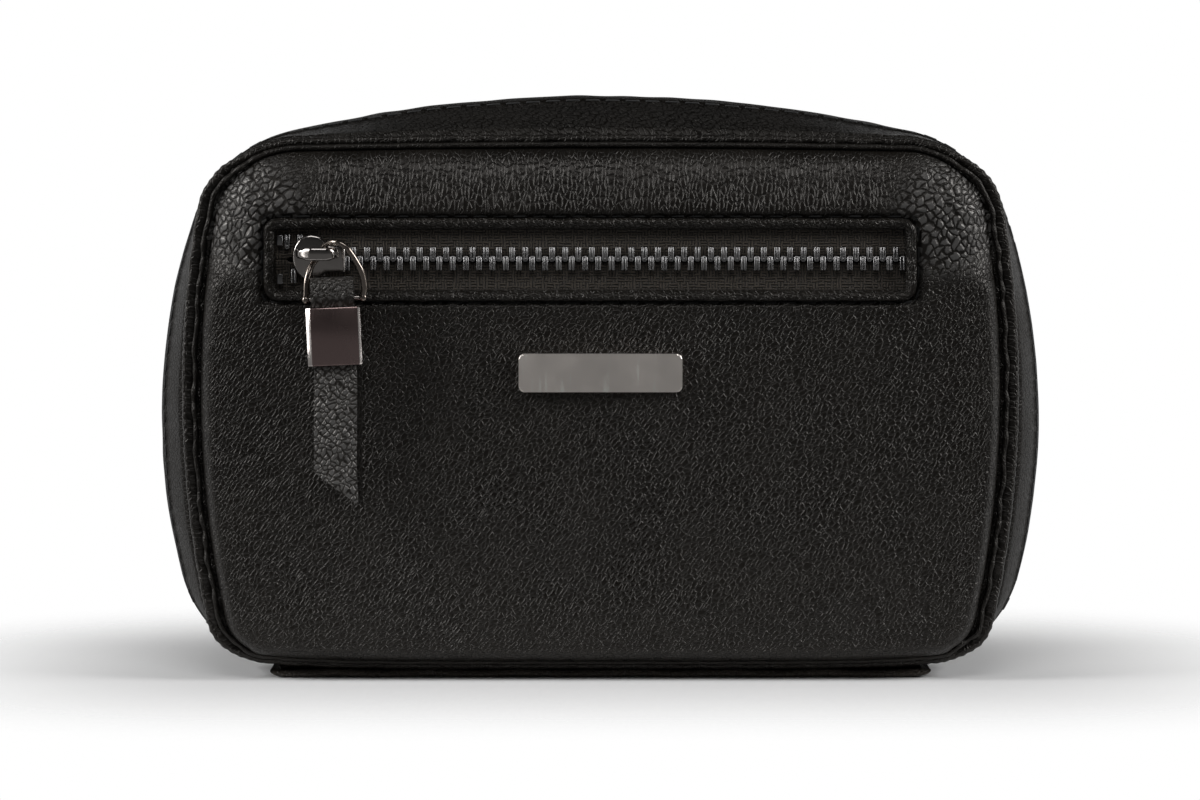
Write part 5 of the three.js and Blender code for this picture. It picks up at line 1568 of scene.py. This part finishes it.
def add_lamp(name, place, target, width, height, power):
    data = bpy.data.lights.new(name, "AREA")
    data.shape = "RECTANGLE"
    data.size = width * MM
    data.size_y = height * MM
    data.energy = power
    aim(new_object(name, data), place, target)


def add_world():
    """White to the camera, a pale wall behind the case to its gloss, and a dim room to everything else"""
    world = bpy.data.worlds.new("studio")
    bpy.context.scene.world = world
    world.use_nodes = True
    tree = world.node_tree
    tree.nodes.clear()
    path = node(tree, "ShaderNodeLightPath").outputs
    way = node(tree, "ShaderNodeSeparateXYZ", {0: node(tree, "ShaderNodeTexCoord").outputs["Generated"]})
    behind = between(tree, way.outputs["Y"], -0.3, 0.45, 0.04, 0.7, smooth=True)
    high = between(tree, way.outputs["Z"], 0.2, 0.5, 1.0, 0.05, smooth=True)
    table = between(tree, way.outputs["Z"], -0.02, 0.08, 0.125, 0.0, smooth=True)
    backdrop = calc(tree, "MAXIMUM", calc(tree, "MULTIPLY", behind, high), table)
    lights = []
    for colour, strength in ((0.04, 1.0), (1.0, backdrop), (1.0, 1.0)):
        light = node(tree, "ShaderNodeBackground", {"Color": grey(colour), "Strength": strength})
        lights.append(light.outputs[0])
    room, mirrored, seen = lights
    glossy = calc(tree, "MAXIMUM", path["Is Glossy Ray"], path["Is Transmission Ray"])
    unseen = node(tree, "ShaderNodeMixShader", {0: glossy, 1: room, 2: mirrored}).outputs[0]
    whole = node(tree, "ShaderNodeMixShader", {0: path["Is Camera Ray"], 1: unseen, 2: seen}).outputs[0]
    node(tree, "ShaderNodeOutputWorld", {"Surface": whole})


def floor_material():
    made, tree, shader = new_material("floor")
    place = node(tree, "ShaderNodeTexCoord").outputs["Object"]
    size = vector_calc(tree, "ABSOLUTE", {0: place})
    over = vector_calc(tree, "SUBTRACT", {0: size, 1: (0.07, 0.02, 0.0)})
    outside = vector_calc(tree, "MAXIMUM", {0: over, 1: (0, 0, 0)})
    away = vector_calc(tree, "LENGTH", {0: outside}, "Value")
    fade = between(tree, away, 0.0, 0.1, 0.0, 1.0, smooth=True)
    speckle = noise(tree, place, 40.0, 3.0).outputs[0]
    tree.links.new(colour_mix(tree, speckle, grey(0.94), grey(0.97)), shader.inputs["Base Color"])
    shader.inputs["Roughness"].default_value = 0.8
    clear = node(tree, "ShaderNodeBsdfTransparent")
    mixed = node(tree, "ShaderNodeMixShader", {0: fade, 1: shader.outputs[0], 2: clear.outputs[0]})
    tree.links.new(mixed.outputs[0], tree.nodes["Material Output"].inputs["Surface"])
    return made


def add_floor():
    """A pale round floor that fades into the white of the room"""
    count = 96
    rim = np.column_stack([np.cos(circle(count)), np.sin(circle(count)), np.zeros(count)])
    points = np.concatenate([rim * radius for radius in (5, 120, 400, 900)])
    faces = [*grid(4, count, wrap_columns=True).tolist(), list(range(count))]
    mesh = bpy.data.meshes.new("floor")
    mesh.from_pydata((points * MM).tolist(), [], faces)
    mesh.materials.append(floor_material())
    new_object("floor", mesh)


# The build

add_camera()
for half, side, pocket, fineness in (("front", -1, True, 1.0), ("rear", 1, False, 1.5)):
    add_panel(half, side, pocket, fineness)
    add_rolls(half, side)
    add_gusset(half, side)
add_welt()
add_tape("upper", 1)
add_tape("lower", -1)
add_teeth()
add_slider()
add_bridge()
add_ring()
add_strap()
add_clamp()
add_nameplate()
add_spine()
for name, material in KEPT_SOLIDS.items():
    dress(name, material)
for half, side in (("front", -1), ("rear", 1)):
    add_lining(half, side)
    add_main_zip(half, side)
    add_hinges(half, side)
add_spine_lining()
add_slip_pocket()
add_meter_strap()
add_pen_loop()
add_main_slider()
add_main_pull()

add_floor()
add_world()
for name, way in (("left", -1), ("right", 1)):
    add_lamp(name, (way * 820, -200, 500), (0, -20, 70), 380, 380, 4.8)
add_lamp("front", (0, -640, 850), (0, -10, 80), 600, 350, 1.7)
for name, way in (("left_strip", -1), ("right_strip", 1)):
    add_lamp(name, (way * 740, -240, 80), (-50, -36, 70), 70, 440, 0.34)
bpy.context.scene.view_settings.view_transform = "Standard"
